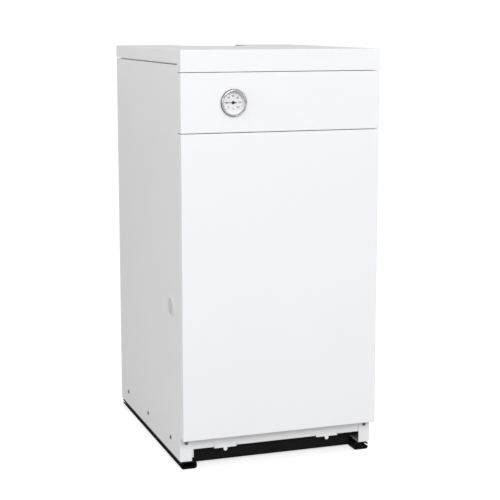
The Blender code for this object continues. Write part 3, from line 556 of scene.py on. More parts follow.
def place(made, body, slot, *nodes, finish=None):
    """Hang a piece on its body with its finish, and hide the CAD nodes that it stands for."""
    made.data.materials.clear()
    made.data.materials.append(FINISHES[finish or slot])
    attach(made, body)
    if nodes:
        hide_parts(*nodes)
    return made


def keep(node, slot):
    """A CAD node that stays in view: give it a finish and merge its doubled vertices."""
    kept = frame["nodes"][node]
    kept.data.materials.clear()
    kept.data.materials.append(FINISHES[slot])
    modify(kept, "WELD", merge_threshold=0.000005)
    return kept


def dress(node, slot):
    """Keep a CAD node's shape, with its edges rounded a little."""
    kept = keep(node, slot)
    modify(kept, "DECIMATE", decimate_type="DISSOLVE", angle_limit=math.radians(1))
    modify(kept, "BEVEL", width=0.0005, segments=2, limit_method="ANGLE", angle_limit=math.radians(40),
           harden_normals=True)


# --- Casing ---------------------------------------------------------------------------

def make_lid():
    low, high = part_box("top_cover")
    flue_y = high.y - NOTCH_R
    lid = folded("lid", low, high, "-Z")
    below_skirt = block((-FAR, low.y + RETURN, BELOW_LID), (FAR, FAR, high.z - LID_SKIRT))
    flue_slot = block((-NOTCH_R, flue_y, BELOW_LID), (NOTCH_R, FAR, FAR))
    cut(lid, below_skirt, join(flue_slot, rod(NOTCH_R, BELOW_LID, FAR, (0, flue_y, 0), UP)))
    place(soften(lid, PAINTED_EDGE), "top_cover", "white_paint", "top_cover")


def make_fascia():
    low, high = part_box("front_fascia")
    case = middle("thermometer_case")
    fascia = folded("fascia", low, high, "+Y")
    cut(fascia, hole(GAUGE_HOLE_R, (case.x, low.y, case.z), BACKWARDS))
    place(soften(fascia, PAINTED_EDGE), "root", "white_paint", "front_fascia")


def make_door():
    low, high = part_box("front_door")
    door = folded("door_panel", low, high, "+Y")
    slots = []
    for node in ("hinge_eye_upper", "hinge_eye_lower"):
        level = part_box(node)[0].z
        slots.append(block((high.x - 2 * SHEET, low.y + HINGE_SLOT_IN, level - HINGE_SLOT_BELOW),
                           (FAR, FAR, level + HINGE_SLOT_ABOVE)))
    cut(door, *slots)
    place(soften(door, PAINTED_EDGE), "front_door", "white_paint", "front_door")


def make_side_panels():
    plug = middle("side_hole_plug")
    panel_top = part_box("rear_panel")[1].z + 0.001
    for side, sign in SIDES:
        low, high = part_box(side + "_side_panel")
        panel = folded(side + "_panel", low, (high.x, high.y, panel_top), "+X" if sign < 0 else "-X")
        outside = low.x if sign < 0 else high.x
        upstand = outside - sign * UPSTAND_IN
        join(panel, block((upstand - SHEET / 2, low.y + UPSTAND_FRONT, high.z - UPSTAND_HEIGHT),
                          (upstand + SHEET / 2, high.y - UPSTAND_REAR, high.z)))
        if sign < 0:
            cut(panel, hole(PLUG_HOLE_R, (outside, plug.y, plug.z), ACROSS))
        # The side panel takes the darker copy of the white paint: painted shade
        place(soften(panel, PAINTED_EDGE), "root", "white_paint", side + "_side_panel", finish="body_paint")


def make_rear_panel():
    low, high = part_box("rear_panel")
    panel = block((low.x, high.y - SHEET, low.z), high, "back_panel")
    flange = block((low.x + REAR_FLANGE_IN, low.y, high.z - SHEET),
                   (high.x - REAR_FLANGE_IN, high.y - SHEET / 2, high.z))
    cut(join(panel, flange), *(rod(REAR_PIPE_HOLE_R, 0.2, 0.3, (0, 0, middle(node).z), BACKWARDS)
                               for node in WATER_STUBS))
    place(soften(panel, PLATED_EDGE), "root", "galvanised_sheet", "rear_panel")
    pitch = high.z - low.z - 2 * REAR_SCREW_END
    for x in (low.x + REAR_SCREW_IN, high.x - REAR_SCREW_IN):
        for i in range(REAR_SCREWS):
            level = low.z + REAR_SCREW_END + pitch * i / (REAR_SCREWS - 1)
            pan_screw("rear_screw", (x, high.y, level), BACKWARDS, 20 * i)


def make_front_rail():
    """A folded strip under the door; its flanges are notched where the two brackets go down."""
    low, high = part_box("front_lower_rail")
    base = low.z + BRACKET_DROP + TAB_DROP
    path = [(high.y, high.z), (low.y, high.z), (low.y, base), (high.y, base)]
    rail = bent_strip("lower_rail", path, "X", low.x, high.x)
    bracket_end, seam = base - BRACKET_DROP, base + 0.004
    top = seam + BRACKET_LAP
    tab = bracket_end - TAB_DROP + TAB_HALF
    room = Vector((0.001, THROUGH, 0))
    for x in (-BRACKET_X, BRACKET_X):
        left, right = x - BRACKET_HALF, x + BRACKET_HALF
        cut(rail, block(Vector((left, low.y, 0)) - room, Vector((right, high.y, seam)) + room))
        outline = [(left, top), (left, bracket_end), (x - TAB_HALF, bracket_end)]
        outline += arc((x, tab), TAB_HALF, 180, 360, 16)
        outline += [(x + TAB_HALF, bracket_end), (right, bracket_end), (right, top)]
        join(rail, prism("bracket", outline, "Y", low.y, low.y + SHEET))
    # The rail takes the darker copy of the white paint: painted shade under the door
    place(soften(rail, PAINTED_EDGE), "root", "white_paint", "front_lower_rail", finish="body_paint")


def make_skid(side, sign):
    """A pressed channel with its slot facing outwards between rolled lips."""
    low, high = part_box("skid_" + side)
    inner, outer = sorted((abs(low.x), abs(high.x)))
    corners = [(outer - SKID_BEND, high.z - SKID_BEND), (inner + SKID_BEND, high.z - SKID_BEND),
               (inner + SKID_BEND, SKID_BEND), (outer - SKID_BEND, SKID_BEND)]
    outside, inside = [], []
    for quarter, centre in enumerate(corners):
        outside += arc(centre, SKID_BEND, 90 * quarter, 90 * quarter + 90, 10)
        inside += arc(centre, SKID_BEND - SKID_WALL, 90 * quarter, 90 * quarter + 90, 8)
    outline = [(sign * x, z) for x, z in outside + inside[::-1]]
    skid = prism("foot_rail_" + side, outline, "Y", low.y, high.y)
    place(soften(skid, 0.0006), "root", "black_paint", "skid_" + side)


def make_base():
    for side, sign in SIDES:
        make_skid(side, sign)
        low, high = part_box("cradle_" + side)
        inner, outer = sorted((low.x, high.x), key=abs)
        wall = inner + (outer - inner) * CRADLE_WALL_SHARE
        foot = low.z + SKID_WALL
        path = [(outer, foot), (wall, foot), (wall, high.z), (inner, high.z)]
        cradle = bent_strip("cradle_rail_" + side, path[::sign], "Y", low.y, high.y, SKID_WALL, CRADLE_BEND)
        place(soften(cradle, HEAVY_EDGE), "root", "black_paint", "cradle_" + side)
    for end, sign in (("front", 1), ("rear", -1)):
        low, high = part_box(end + "_crossmember")
        face, deep = (low.y, high.y)[::sign]
        path = [(deep, high.z), (face, high.z), (face, low.z), (deep, low.z)]
        beam = bent_strip(end + "_beam", path[::sign], "X", low.x, high.x, BEAM_WALL, BEAM_BEND)
        place(soften(beam, HEAVY_EDGE), "root", "black_paint", end + "_crossmember")
    low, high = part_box("base_heat_shield")
    shield = folded("heat_shield", low, high, "+Z", 0.002, 0.0012)
    place(soften(shield, 0.0002), "root", "galvanised_sheet", "base_heat_shield")


# --- Fasteners ------------------------------------------------------------------------

def pan_screw(name, spot, outwards, turn=0, radius=SCREW_HEAD_R, height=SCREW_HEAD_HEIGHT,
              finish="zinc_screw"):
    """A domed screw head with a cross recess, sunk through to its thread."""
    count = sum(o.name.startswith(name) for o in bpy.data.objects)
    dome = [(radius * math.cos(a), height * (0.35 + 0.65 * math.sin(a))) for a in quarter_turn()]
    profile = [(0, -0.008), (0.0017, -0.008), (0.0019, -0.0002), (radius, 0.00005)] + dome
    head = lathe("%s_%d" % (name, count + 1), profile, (0, 0, 0), UP, sides=40, fillet=0.0001)
    arms = []
    for angle in (0, 90):
        arm = block((-radius * 0.58, -0.00045, height - 0.0013), (radius * 0.58, 0.00045, THROUGH))
        arm.data.transform(Matrix.Rotation(math.radians(angle + turn), 4, "Z"))
        arms.append(arm)
    cut(head, *arms)
    head.data.transform(Vector(UP).rotation_difference(Vector(outwards)).to_matrix().to_4x4())
    head.data.transform(Matrix.Translation(spot))
    return place(head, "root", "zinc_screw", finish=finish)


def make_casing_screws():
    for side, sign in SIDES:
        low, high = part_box(side + "_side_panel")
        spot = middle("side_screw_" + side)
        face = low.x if sign < 0 else high.x
        for i, y in enumerate((low.y + SCREW_SET_BACK, spot.y, high.y - SCREW_SET_BACK)):
            screw = pan_screw("side_screw_head_" + side, (face, y, spot.z), (sign, 0, 0), 25 * i,
                              finish="dark_screw")
            if i == 1:
                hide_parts("side_screw_" + side)
        x, z = POST_SCREW
        pan_screw("post_screw_" + side, (sign * x, low.y, z), FORWARDS, 15, POST_SCREW_R,
                  finish="dark_screw")


def make_plug():
    low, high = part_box("side_hole_plug")
    r = (high.y - low.y) / 2
    centre = middle("side_hole_plug")
    centre.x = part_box("left_side_panel")[0].x
    cap_r, bore = r - 0.0026, 0.0165
    rim = [(bore, -0.006), (0.0187, -0.006), (0.0182, 0.0002), (r, 0.0002), (r, 0.0009),
           (r - 0.0012, 0.0017), (cap_r, 0.0018), (cap_r, 0.0003), (bore, 0.0003)]
    place(lathe("hole_plug", rim, centre, (-1, 0, 0), True), "root", "white_paint", "side_hole_plug")
    cap_r -= 0.0001
    # The cap's grey is painted shade of the plug's recessed middle
    profile = [(0, 0.0004), (cap_r, 0.0004), (cap_r, 0.0012), (cap_r - 0.0007, 0.0015), (0, 0.0012)]
    cap = lathe("hole_plug_cap", profile, centre, (-1, 0, 0), fillet=0.0002)
    place(cap, "root", "white_paint", finish="plug_painted_shade_grey")


def make_door_magnet():
    low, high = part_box("door_magnet")
    body = soften(block(low + Vector((0, 0.0006, 0)), high, "magnet_housing"), 0.0012, 3)
    place(body, "root", "black_plastic", "door_magnet")
    half, end = 0.0012, 0.006
    for i, x in enumerate((low.x + 0.0045, high.x - 0.0045)):
        pole = block((x - half, low.y, low.z + end), (x + half, low.y + 0.004, high.z - end),
                     "magnet_pole_%d" % (i + 1))
        place(soften(pole, PLATED_EDGE), "root", "zinc_screw")


# --- Thermometer ----------------------------------------------------------------------

def scale_angle(value):
    share = (value - SCALE_FIRST) / (SCALE_LAST - SCALE_FIRST)
    return math.radians(SCALE_START - SCALE_SWEEP * share)


def round_axis(axis, radius, angle):
    """A point on a circle round an axis that runs from front to back, as X and Z."""
    return (axis.x + radius * math.cos(angle), axis.z + radius * math.sin(angle))


def print_on_dial(name, text, centre, size, y):
    """Raised print, flat on the dial."""
    curve = bpy.data.curves.new(name, "FONT")
    curve.body = text
    curve.size = size
    curve.align_x = "CENTER"
    curve.align_y = "CENTER"
    curve.extrude = PRINT_HALF
    curve.offset = 0.00006
    curve.resolution_u = 6
    letters = linked(name, curve)
    bpy.context.view_layer.update()
    mesh = bpy.data.meshes.new_from_object(letters.evaluated_get(bpy.context.evaluated_depsgraph_get()))
    bpy.data.objects.remove(letters)
    mesh.transform(Matrix.Translation((centre[0], y, centre[1])) @ Matrix.Rotation(math.radians(90), 4, "X"))
    return linked(name, mesh)


def make_case_and_dial(spot):
    flange_r, bezel_r, dial_r = (half_width("thermometer_" + part) for part in ("case", "bezel", "dial"))
    bore, inside, case_r = dial_r + 0.0003, dial_r - 0.0025, GAUGE_HOLE_R - 0.0003
    profile = [(0, -0.030), (case_r, -0.030), (case_r, 0.0003), (flange_r, 0.0003), (flange_r, 0.0020),
               (bore, 0.0020), (bore, -0.0056), (inside, -0.0056), (inside, -0.0285), (0, -0.0285)]
    place(lathe("gauge_case", profile, spot, FORWARDS), "root", "black_plastic", "thermometer_case")

    dome = [(bezel_r - 0.0016 * (1 - math.cos(a)), 0.0044 + 0.0026 * math.sin(a)) for a in quarter_turn()]
    lip = dial_r - 0.0007
    profile = [(bezel_r, 0.0023)] + dome
    profile += [(lip + 0.0012, 0.0064), (lip + 0.0003, 0.0050), (lip, 0.0036), (lip, 0.0023)]
    place(lathe("gauge_bezel", profile, spot, FORWARDS, True, 128, 0.0002), "root", "bezel_chrome",
          "thermometer_bezel")

    front, back = (spot[1] - corner.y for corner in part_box("thermometer_dial"))
    rim = dial_r - 0.0005
    profile = [(0, back), (dial_r, back), (dial_r, 0.0003), (rim, 0.0003), (rim, front), (0, front)]
    dial = lathe("gauge_dial", profile, spot, FORWARDS, fillet=0.0001)
    place(dial, "root", "dial_face", "thermometer_dial")


def make_scale(axis):
    """Ticks, numbers and the scale's arc, printed on the dial."""
    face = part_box("thermometer_dial")[0].y - PRINT_HALF
    prints = []
    for value in range(SCALE_FIRST, SCALE_LAST + 1, 2):
        length, half = SMALL_TICK if value % 10 else MAIN_TICK
        tick = block((TICK_R - length, face - PRINT_HALF, -half), (TICK_R, face + PRINT_HALF, half), "tick")
        tick.data.transform(Matrix.Translation((axis.x, 0, axis.z))
                            @ Matrix.Rotation(-scale_angle(value), 4, "Y"))
        prints.append(tick)
    for value in range(SCALE_FIRST, SCALE_LAST + 1, SCALE_STEP):
        prints.append(print_on_dial("number", str(value), round_axis(axis, NUMBER_R, scale_angle(value)),
                                    NUMBER_SIZE, face))
    prints.append(print_on_dial("unit", "\u00b0C", (axis.x, axis.z - UNIT_DROP), NUMBER_SIZE, face))
    place(one_piece("gauge_scale", prints), "root", "dial_face", finish="dial_print")
    line = [lifted(round_axis(axis, TICK_R, scale_angle(SCALE_LAST * i / 90)), 1, face) for i in range(91)]
    place(tube("gauge_scale_line", line, 0.00010, 6), "root", "dial_face", finish="dial_print")


def make_needle(axis):
    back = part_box("thermometer_needle")[1].y
    blade = [(-0.0190, 0.00015), (-0.0190, -0.00015), (-0.0030, -0.00055), (0.0030, -0.00075),
             (0.0068, -0.0012), (0.0068, 0.0012), (0.0030, 0.00075), (-0.0030, 0.00055)]
    needle = prism("gauge_needle", [(axis.x + x, axis.z + z) for x, z in blade], "Y", back - 0.0004, back)
    hub_profile = [(0, 0), (0.0032, 0), (0.0032, 0.0006), (0.0024, 0.00095), (0, 0.00099)]
    join(needle, lathe("hub", hub_profile, (axis.x, back, axis.z), FORWARDS, sides=48, fillet=0.0001))
    place(needle, "gauge_needle", "black_plastic", "thermometer_needle")


def make_window(spot):
    dial_r = half_width("thermometer_dial")
    flat_in, flat_out, crown = 0.0005, 0.0020, 0.0018
    rise = [(dial_r * (1 - i / 8), flat_out + crown * math.sin(a)) for i, a in enumerate(quarter_turn())]
    under = [(dial_r * i / 8, flat_in + crown * math.cos(a)) for i, a in enumerate(quarter_turn())]
    window = lathe("gauge_window", under + rise, spot, FORWARDS, fillet=0)
    place(window, "root", "gauge_glass", "thermometer_glass")


def make_thermometer():
    axis = joint_axis("needle_turn")
    spot = (axis.x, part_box("front_fascia")[0].y, axis.z)
    make_case_and_dial(spot)
    make_scale(axis)
    make_needle(axis)
    make_window(spot)


# --- Boiler shell ---------------------------------------------------------------------

def make_hood():
    low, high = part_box("flue_hood")
    outline = [(low.y, low.z), (0.186, low.z), (high.y, HOOD_SHOULDER), (high.y, high.z), (0.050, high.z),
               (low.y, HOOD_SHOULDER)]
    hood = prism("hood", rounded(outline, BEND, 4, True), "X", low.x, high.x)
    within = prism("inside", rounded(inset(outline, SHEET), BEND - SHEET, 3, True), "X", low.x + SHEET,
                   high.x - SHEET)
    entry = block((-0.115, -0.072, 0.6), (0.115, 0.176, low.z + 0.004))
    draught_break = block((-0.080, 0.205, 0.650), (0.080, 0.225, 0.690))
    flue = hole(COLLAR_BORE, (0, middle("flue_collar").y, high.z), UP)
    cut(hood, within, entry, flue, draught_break)
    place(soften(hood, PLATED_EDGE), "root", "galvanised_sheet", "flue_hood")
    for side, sign in SIDES:
        for i, (y, z) in enumerate(HOOD_SCREWS):
            pan_screw("hood_screw_" + side, (sign * high.x, y, z), (sign, 0, 0), 17 * i, 0.0034, 0.0015)

    low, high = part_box("flue_collar")
    spot = middle("flue_collar")
    wide = high.x - spot.x
    outer, wall, foot = wide - 0.004, 0.003, low.z + 0.0015
    profile = [(outer - wall, low.z), (wide, low.z), (wide, foot), (outer, foot), (outer, high.z - 0.006),
               (outer + 0.0008, high.z - 0.003), (outer, high.z), (outer - wall, high.z)]
    collar = lathe("flue_socket", profile, (spot.x, spot.y, 0), UP, True, 128, 0.0007)
    place(collar, "root", "galvanised_sheet", "flue_collar")


def crumpled(made, size, depth, seed):
    """A soft foil skin: an even mesh, rounded and pushed in a little at random."""
    modify(made, "REMESH", mode="VOXEL", voxel_size=size)
    modify(made, "SMOOTH", factor=0.5, iterations=3)
    applied(made, 180)
    form = bmesh.new()
    form.from_mesh(made.data)
    form.normal_update()
    for vert in form.verts:
        broad = noise.noise(vert.co * 16 + Vector((seed, 0, 0)))
        fine = noise.noise(vert.co * 60 + Vector((0, seed, 0)))
        vert.co -= vert.normal * depth * (0.55 + 0.6 * broad + 0.35 * abs(fine))
    form.to_mesh(made.data)
    form.free()
    return made


def make_jacket():
    low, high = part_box("insulation_jacket")
    core_low, core_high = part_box("boiler_body")
    pocket = middle("sensor_pocket")
    slack = 0.0005
    core = block((core_low.x - slack, core_low.y - slack, 0),
                 (core_high.x + slack, core_high.y + slack, FAR))
    burner_opening = block((-0.146, -0.2, 0), (0.146, core_low.y, 0.356))
    pipe_holes = [rod(0.032, 0.17, 0.3, (0, 0, middle(node).z), BACKWARDS) for node in WATER_STUBS]
    pocket_hole = rod(0.014, -0.2, core_low.y, (pocket.x, 0, pocket.z), BACKWARDS)
    jacket = cut(block(low, high, "foil_jacket"), core, burner_opening, *pipe_holes, pocket_hole)
    place(crumpled(jacket, 0.005, 0.0012, 3), "root", "foil_insulation", "insulation_jacket")
    outline = rounded([(low.x, low.y), (high.x, low.y), (high.x, high.y), (low.x, high.y)], 0.006, 5, True)
    for i, level in enumerate(TAPE_LEVELS):
        tape = prism("foil_tape_%d" % (i + 1), inset(outline, -TAPE_OUT), "Z", level - TAPE_HALF,
                     level + TAPE_HALF)
        cut(tape, prism("inside", inset(outline, TAPE_IN), "Z", 0, FAR))
        if level == max(TAPE_LEVELS):
            cut(tape, block((pocket.x - 0.02, -0.2, 0), (pocket.x + 0.02, -0.1, FAR)))
        place(tape, "root", "foil_insulation", finish="foil_tape")


def make_water_pipes():
    bore, pipe, thread, cut_in = 0.018, 0.021, 0.0245, 0.0012
    for node in WATER_STUBS:
        low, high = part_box(node)
        profile = [(bore, low.y), (0.028, low.y), (0.028, low.y + 0.002), (pipe, low.y + 0.003),
                   (pipe, high.y - 0.025), (thread - cut_in, high.y - 0.0235)]
        profile += threads(thread, cut_in, high.y - 0.023, high.y - 0.001)
        profile += [(thread - 0.0014, high.y), (bore, high.y)]
        made = lathe(node.replace("stub", "pipe"), profile, (0, 0, middle(node).z), BACKWARDS, True,
                     fillet=0.0002)
        place(made, "root", "boiler_steel", node)


def make_sensor_pocket(front):
    low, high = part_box("sensor_pocket")
    spot = middle("sensor_pocket")
    centre = (spot.x, front, spot.z)
    mouth, tip = low.y - front, high.y - front
    tube_r, neck_r, bore = 0.0068, 0.0085, 0.0045
    profile = [(0, tip), (0.0060, tip - 0.0008), (tube_r, tip - 0.004), (tube_r, -0.0003), (neck_r, -0.0003),
               (neck_r, mouth), (bore, mouth), (bore, mouth + 0.015), (0, mouth + 0.015)]
    pocket = lathe("pocket", profile, centre, BACKWARDS, sides=64)
    nut = [(0, -0.014), (0.0098, -0.014), (0.0120, -0.0128), (0.0120, -0.0016), (0.0098, -0.0004),
           (0, -0.0004)]
    join(pocket, lathe("nut", nut, centre, BACKWARDS, sides=6, fillet=0))
    place(soften(pocket, 0.0002), "root", "brass", "sensor_pocket")


def make_drain_cock(front):
    spot = joint_axis("drain_lever_turn")
    low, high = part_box("drain_cock_body")
    profile = [(0, -0.0003), (0.0065, -0.0003), (0.0065, 0.004), (0.0078, 0.005), (0.0078, 0.015),
               (0.0092, 0.018), (0.0092, 0.034), (0.0070, 0.037), (0.0070, 0.046), (0.0062, 0.047)]
    for ridge in range(3):
        profile += [(0.0081, 0.0485 + 0.004 * ridge), (0.0064, 0.0515 + 0.004 * ridge)]
    profile += [(0.0060, 0.060), (0.0040, 0.060), (0.0040, 0.040), (0, 0.040)]
    cock = lathe("drain_cock", profile, (spot.x, front, (low.z + high.z) / 2), FORWARDS, sides=64)
    place(soften(cock, 0.0002), "root", "brass", "drain_cock_body")
    low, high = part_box("drain_cock_lever")
    outline = arc((spot.x, spot.y), 0.0060, -60, 60, 16)
    outline += arc((spot.x - LEVER_REACH, spot.y), 0.0045, 90, 270, 16)
    lever = prism("drain_lever", outline, "Z", high.z - 0.0018, high.z)
    join(lever, rod(0.0030, low.z, high.z - 0.0005, (spot.x, spot.y, 0), UP, 32))
    place(soften(lever, 0.0005, 3), "drain_lever", "red_plastic", "drain_cock_lever")


# --- Burner unit ----------------------------------------------------------------------

def hex_nut(name, spot, direction, radius, start, end, bore=0.0):
    """A chamfered six-sided nut."""
    chamfer = radius * 0.16
    profile = [(bore, start), (radius - chamfer, start), (radius, start + chamfer * 0.5),
               (radius, end - chamfer * 0.5), (radius - chamfer, end), (bore, end)]
    return soften(lathe(name, profile, spot, direction, bore > 0, 6, 0), 0.0002)


def make_plate_nut(name, spot):
    """A washer with a nut and a stud's end on it."""
    profile = [(0, 0), (0.0055, 0), (0.0055, 0.0009), (0, 0.0009)]
    washer = lathe("plate_washer_" + name, profile, spot, FORWARDS, sides=40, fillet=0.0002)
    place(washer, "root", "zinc_screw")
    stud = [(0, 0.0009), (0.0026, 0.0009), (0.0026, 0.0052), (0.0020, 0.0060), (0, 0.0060)]
    nut = hex_nut("plate_nut_" + name, spot, FORWARDS, 0.0048, 0.0009, 0.0042)
    join(nut, lathe("stud", stud, spot, FORWARDS, sides=32, fillet=0))
    place(soften(nut, 0.00015), "root", "zinc_screw")


def make_burner_plate():
    low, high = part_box("burner_plate")
    pivot = joint_axis("flap_swing")
    face = high.y - PLATE_SHEET
    plate = block((low.x, face, low.z), high, "burner_door")
    stud = [(0, -0.001), (0.0030, -0.001), (0.0030, 0.0052), (0.0024, 0.006), (0, 0.006)]
    join(plate, lathe("stud", stud, (pivot.x, face, pivot.z), FORWARDS, sides=40, fillet=0))
    mouth_z = middle("gas_manifold").z
    cutters = [hole(0.013, (middle(node).x, face, mouth_z), BACKWARDS, 64) for node in BARS]
    cutters.append(hole(SIGHT_R, (pivot.x, face, pivot.z - FLAP_DROP), BACKWARDS, 64))
    wide, tall = PILOT_SLOT
    cutters.append(block((PILOT_X - wide, -0.2, PILOT_Z - tall), (PILOT_X + wide, 0, PILOT_Z + tall)))
    cut(plate, *cutters)
    place(soften(plate, HEAVY_EDGE), "root", "galvanised_sheet", "burner_plate")
    rows = (low.z + PLATE_NUT_IN, (low.z + high.z) / 2 + 0.02, high.z - PLATE_NUT_IN)
    for i, x in enumerate((low.x + PLATE_NUT_IN, 0.0, high.x - PLATE_NUT_IN)):
        for j, z in enumerate(rows):
            if (i, j) != (1, 1):
                make_plate_nut("%d%d" % (i, j), (x, face, z))


def bar_head(x, base, shrink):
    """A bar head's outline: flat below and round on top."""
    side = BAR_HALF - shrink
    return [(x - side, base - 0.014 + shrink), (x + side, base - 0.014 + shrink)] + \
        arc((x, base + 0.010), side, 0, 180, 20)


def make_burner_bars():
    """Stainless bars: a mixing tube that widens into a head with fine flame ports."""
    front = BAR_HEAD_FRONT
    for node in BARS:
        low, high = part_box(node)
        x = (low.x + high.x) / 2
        base = high.z - 0.025
        bar = prism(node.replace("burner_bar", "burner_tube"), bar_head(x, base, 0), "Y", front, high.y)
        join(bar, rod(0.012, low.y, front + 0.01, (x, 0, base), BACKWARDS, 48))
        inside = prism("inside", bar_head(x, base, BAR_WALL), "Y", front + BAR_WALL, high.y - BAR_WALL)
        join(inside, rod(0.0108, low.y - THROUGH, front + 0.012, (x, 0, base), BACKWARDS, 48))
        cut(bar, inside)
        pitch = (high.y - front - 0.02) / PORTS
        starts = [front + 0.010 + pitch * (i + 0.3) for i in range(PORTS)]
        ports = [block((x - 0.008, start, base + 0.017), (x + 0.008, start + BAR_WALL, base + 0.04))
                 for start in starts]
        cut(bar, one_piece("ports", ports))
        place(bar, "root", "stainless_steel", node)


def make_manifold(axis_y, axis_z):
    low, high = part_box("gas_manifold")
    end = 0.002
    profile = [(0, low.x), (RAIL_R - end, low.x), (RAIL_R, low.x + end), (RAIL_R, high.x - end),
               (RAIL_R - end, high.x), (0, high.x)]
    manifold = lathe("gas_rail", profile, (0, axis_y, axis_z), ACROSS, sides=64, fillet=0.0008)
    half, foot_half, foot_y = 0.006, 0.022, high.y - 0.002
    for x in (-RAIL_FOOT_X, RAIL_FOOT_X):
        arm = block((x - half, axis_y, axis_z - half), (x + half, high.y, axis_z + half))
        foot = block((x - half, foot_y, axis_z - foot_half), (x + half, high.y, axis_z + foot_half))
        join(manifold, arm, foot)
    place(soften(manifold, 0.0005), "root", "boiler_steel", "gas_manifold", finish="dark_steel")
    for x in (-RAIL_FOOT_X, RAIL_FOOT_X):
        for z in (-0.0165, 0.0165):
            pan_screw("rail_screw", (x, foot_y, axis_z + z), FORWARDS, 30, 0.0032, 0.0016)


def make_gas_train():
    low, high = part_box("gas_manifold")
    axis_y, axis_z = low.y + RAIL_R, (low.z + high.z) / 2
    make_manifold(axis_y, axis_z)
    start = RAIL_R + JET_GAP
    jet = [(0, 0.009), (0.0042, 0.011), (0.0042, 0.018), (0.0030, 0.020), (0.0007, 0.020), (0.0007, 0.015),
           (0, 0.015)]
    nut = [(0, 0), (0.0052, 0), (0.0058, 0.0006), (0.0058, 0.0094), (0.0052, 0.010), (0, 0.010)]
    for i, node in enumerate(BARS):
        spot = (middle(node).x, axis_y, axis_z)
        injector, hexagon = (lathe("jet_%d" % (i + 1), [(r, start + h) for r, h in profile], spot, BACKWARDS,
                                   sides=sides, fillet=fillet)
                             for profile, sides, fillet in ((jet, 40, 0.0002), (nut, 6, 0)))
        join(injector, hexagon)
        place(soften(injector, 0.00015), "root", "brass", "gas_injector_%d" % (i + 1))

    gas_y, gas_z = middle("gas_inlet_union").yz
    route = [(0.0375, gas_y, gas_z), (0.055, gas_y, gas_z), (0.078, gas_y + 0.003, gas_z - 0.006),
             (DROP_X, gas_y + 0.018, gas_z - 0.030), (DROP_X, axis_y - 0.006, gas_z - 0.060),
             (DROP_X, axis_y, gas_z - 0.090), (DROP_X, axis_y, axis_z + RAIL_R + 0.030),
             (DROP_X, axis_y, axis_z + start)]
    pipe = tube("supply_pipe", smooth_path(route, 8), PIPE_R, 40)
    place(pipe, "root", "boiler_steel", "gas_pipe", finish="dark_steel")
    bore = PIPE_R + 0.0003
    for end, spot, direction, radius, low_end, high_end in (
            ("top", (0, gas_y, gas_z), ACROSS, 0.0125, 0.0378, 0.0500),
            ("bottom", (DROP_X, axis_y, axis_z), UP, 0.0120, 0.0105, 0.0210)):
        nut = hex_nut("pipe_nut_" + end, spot, direction, radius, low_end, high_end, bore)
        place(nut, "root", "zinc_screw")


def make_valve_body(knob, face):
    low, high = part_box("gas_valve")
    gas_y, gas_z = middle("gas_inlet_union").yz
    body_low, body_high = Vector((-0.085, face + 0.003, 0.298)), Vector((0.025, high.y, high.z))
    valve = soften(block(body_low, body_high, "valve_body"), 0.0045, 5)
    valve.modifiers.clear()
    boss_r = 0.0165
    boss = [(0, low.x), (boss_r - 0.001, low.x), (boss_r, low.x + 0.001), (boss_r, high.x - 0.001),
            (boss_r - 0.001, high.x), (0, high.x)]
    boss = lathe("boss", boss, (0, gas_y, gas_z), ACROSS, fillet=0)
    cap = lathe("cap", [(0, 0.016), (0.0195, 0.016), (0.0210, 0.0145), (0.0210, 0), (0, 0)],
                (-0.030, -0.192, 0.300), (0, 0, -1), fillet=0)
    cover = soften(block((body_low.x + 0.006, face, low.z + 0.020),
                         (body_high.x - 0.006, face + 0.004, high.z - 0.006)), 0.0012, 3)
    cover.modifiers.clear()
    join(valve, boss, cap, cover)
    holes = [rod(0.0085, -0.110, -0.080, (0, gas_y, gas_z), ACROSS),
             rod(0.0045, -THROUGH, 0.012, knob, BACKWARDS, 48)]
    for node in ("pilot_button", "off_button"):
        spot = middle(node)
        holes.append(rod(BUTTON_HOLE_R, -THROUGH, 0.014, (spot.x, face, spot.z), BACKWARDS, 64))
    cut(valve, *holes)
    place(soften(valve, PLATED_EDGE), "root", "valve_casting", "gas_valve")
    for x in (body_low.x + 0.010, body_high.x - 0.010):
        pan_screw("valve_screw", (x, face, high.z - 0.0105), FORWARDS, 40, 0.0029, 0.0016)


def make_knob(knob, face):
    """A fluted knob with a pointer and numbers, whose shaft goes into the valve."""
    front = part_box("thermostat_knob")[0].y
    nose, back, shaft_r = front - face, -0.0005, 0.0041
    profile = [(0, nose + 0.0022), (0.0105, nose + 0.0022), (0.0125, nose + 0.0015),
               (KNOB_R - 0.0012, nose + 0.0015), (KNOB_R, nose + 0.0032),
               (KNOB_R, back - 0.0008), (KNOB_R - 0.0008, back), (shaft_r, back), (shaft_r, 0.010), (0, 0.010)]
    turned = lathe("control_knob", profile, (knob.x, face, knob.z), BACKWARDS, sides=144, fillet=0.0004)
    for vert in turned.data.vertices:
        out = Vector((vert.co.x - knob.x, vert.co.z - knob.z))
        if out.length > KNOB_R - 0.0015:
            groove = 0.0008 * (0.5 - 0.5 * math.cos(KNOB_FLUTES * math.atan2(out.y, out.x))) ** 2
            out *= (out.length - groove) / out.length
            vert.co.x, vert.co.z = knob.x + out.x, knob.z + out.y
    place(turned, "thermostat_knob", "grey_plastic", "thermostat_knob")
    pointer = block((knob.x - 0.0011, front, knob.z + 0.0135),
                    (knob.x + 0.0011, front + 0.0030, knob.z + KNOB_R - 0.0016), "knob_pointer")
    place(soften(pointer, PLATED_EDGE), "thermostat_knob", "grey_plastic", finish="dial_print")
    numbers = []
    for i in range(1, 8):
        centre = round_axis(knob, KNOB_NUMBER_R, math.radians(90 - 45 * i))
        numbers.append(print_on_dial("number", str(i), centre, 0.0050, front + 0.00146))
    place(one_piece("knob_numbers", numbers), "thermostat_knob", "grey_plastic", finish="dial_print")


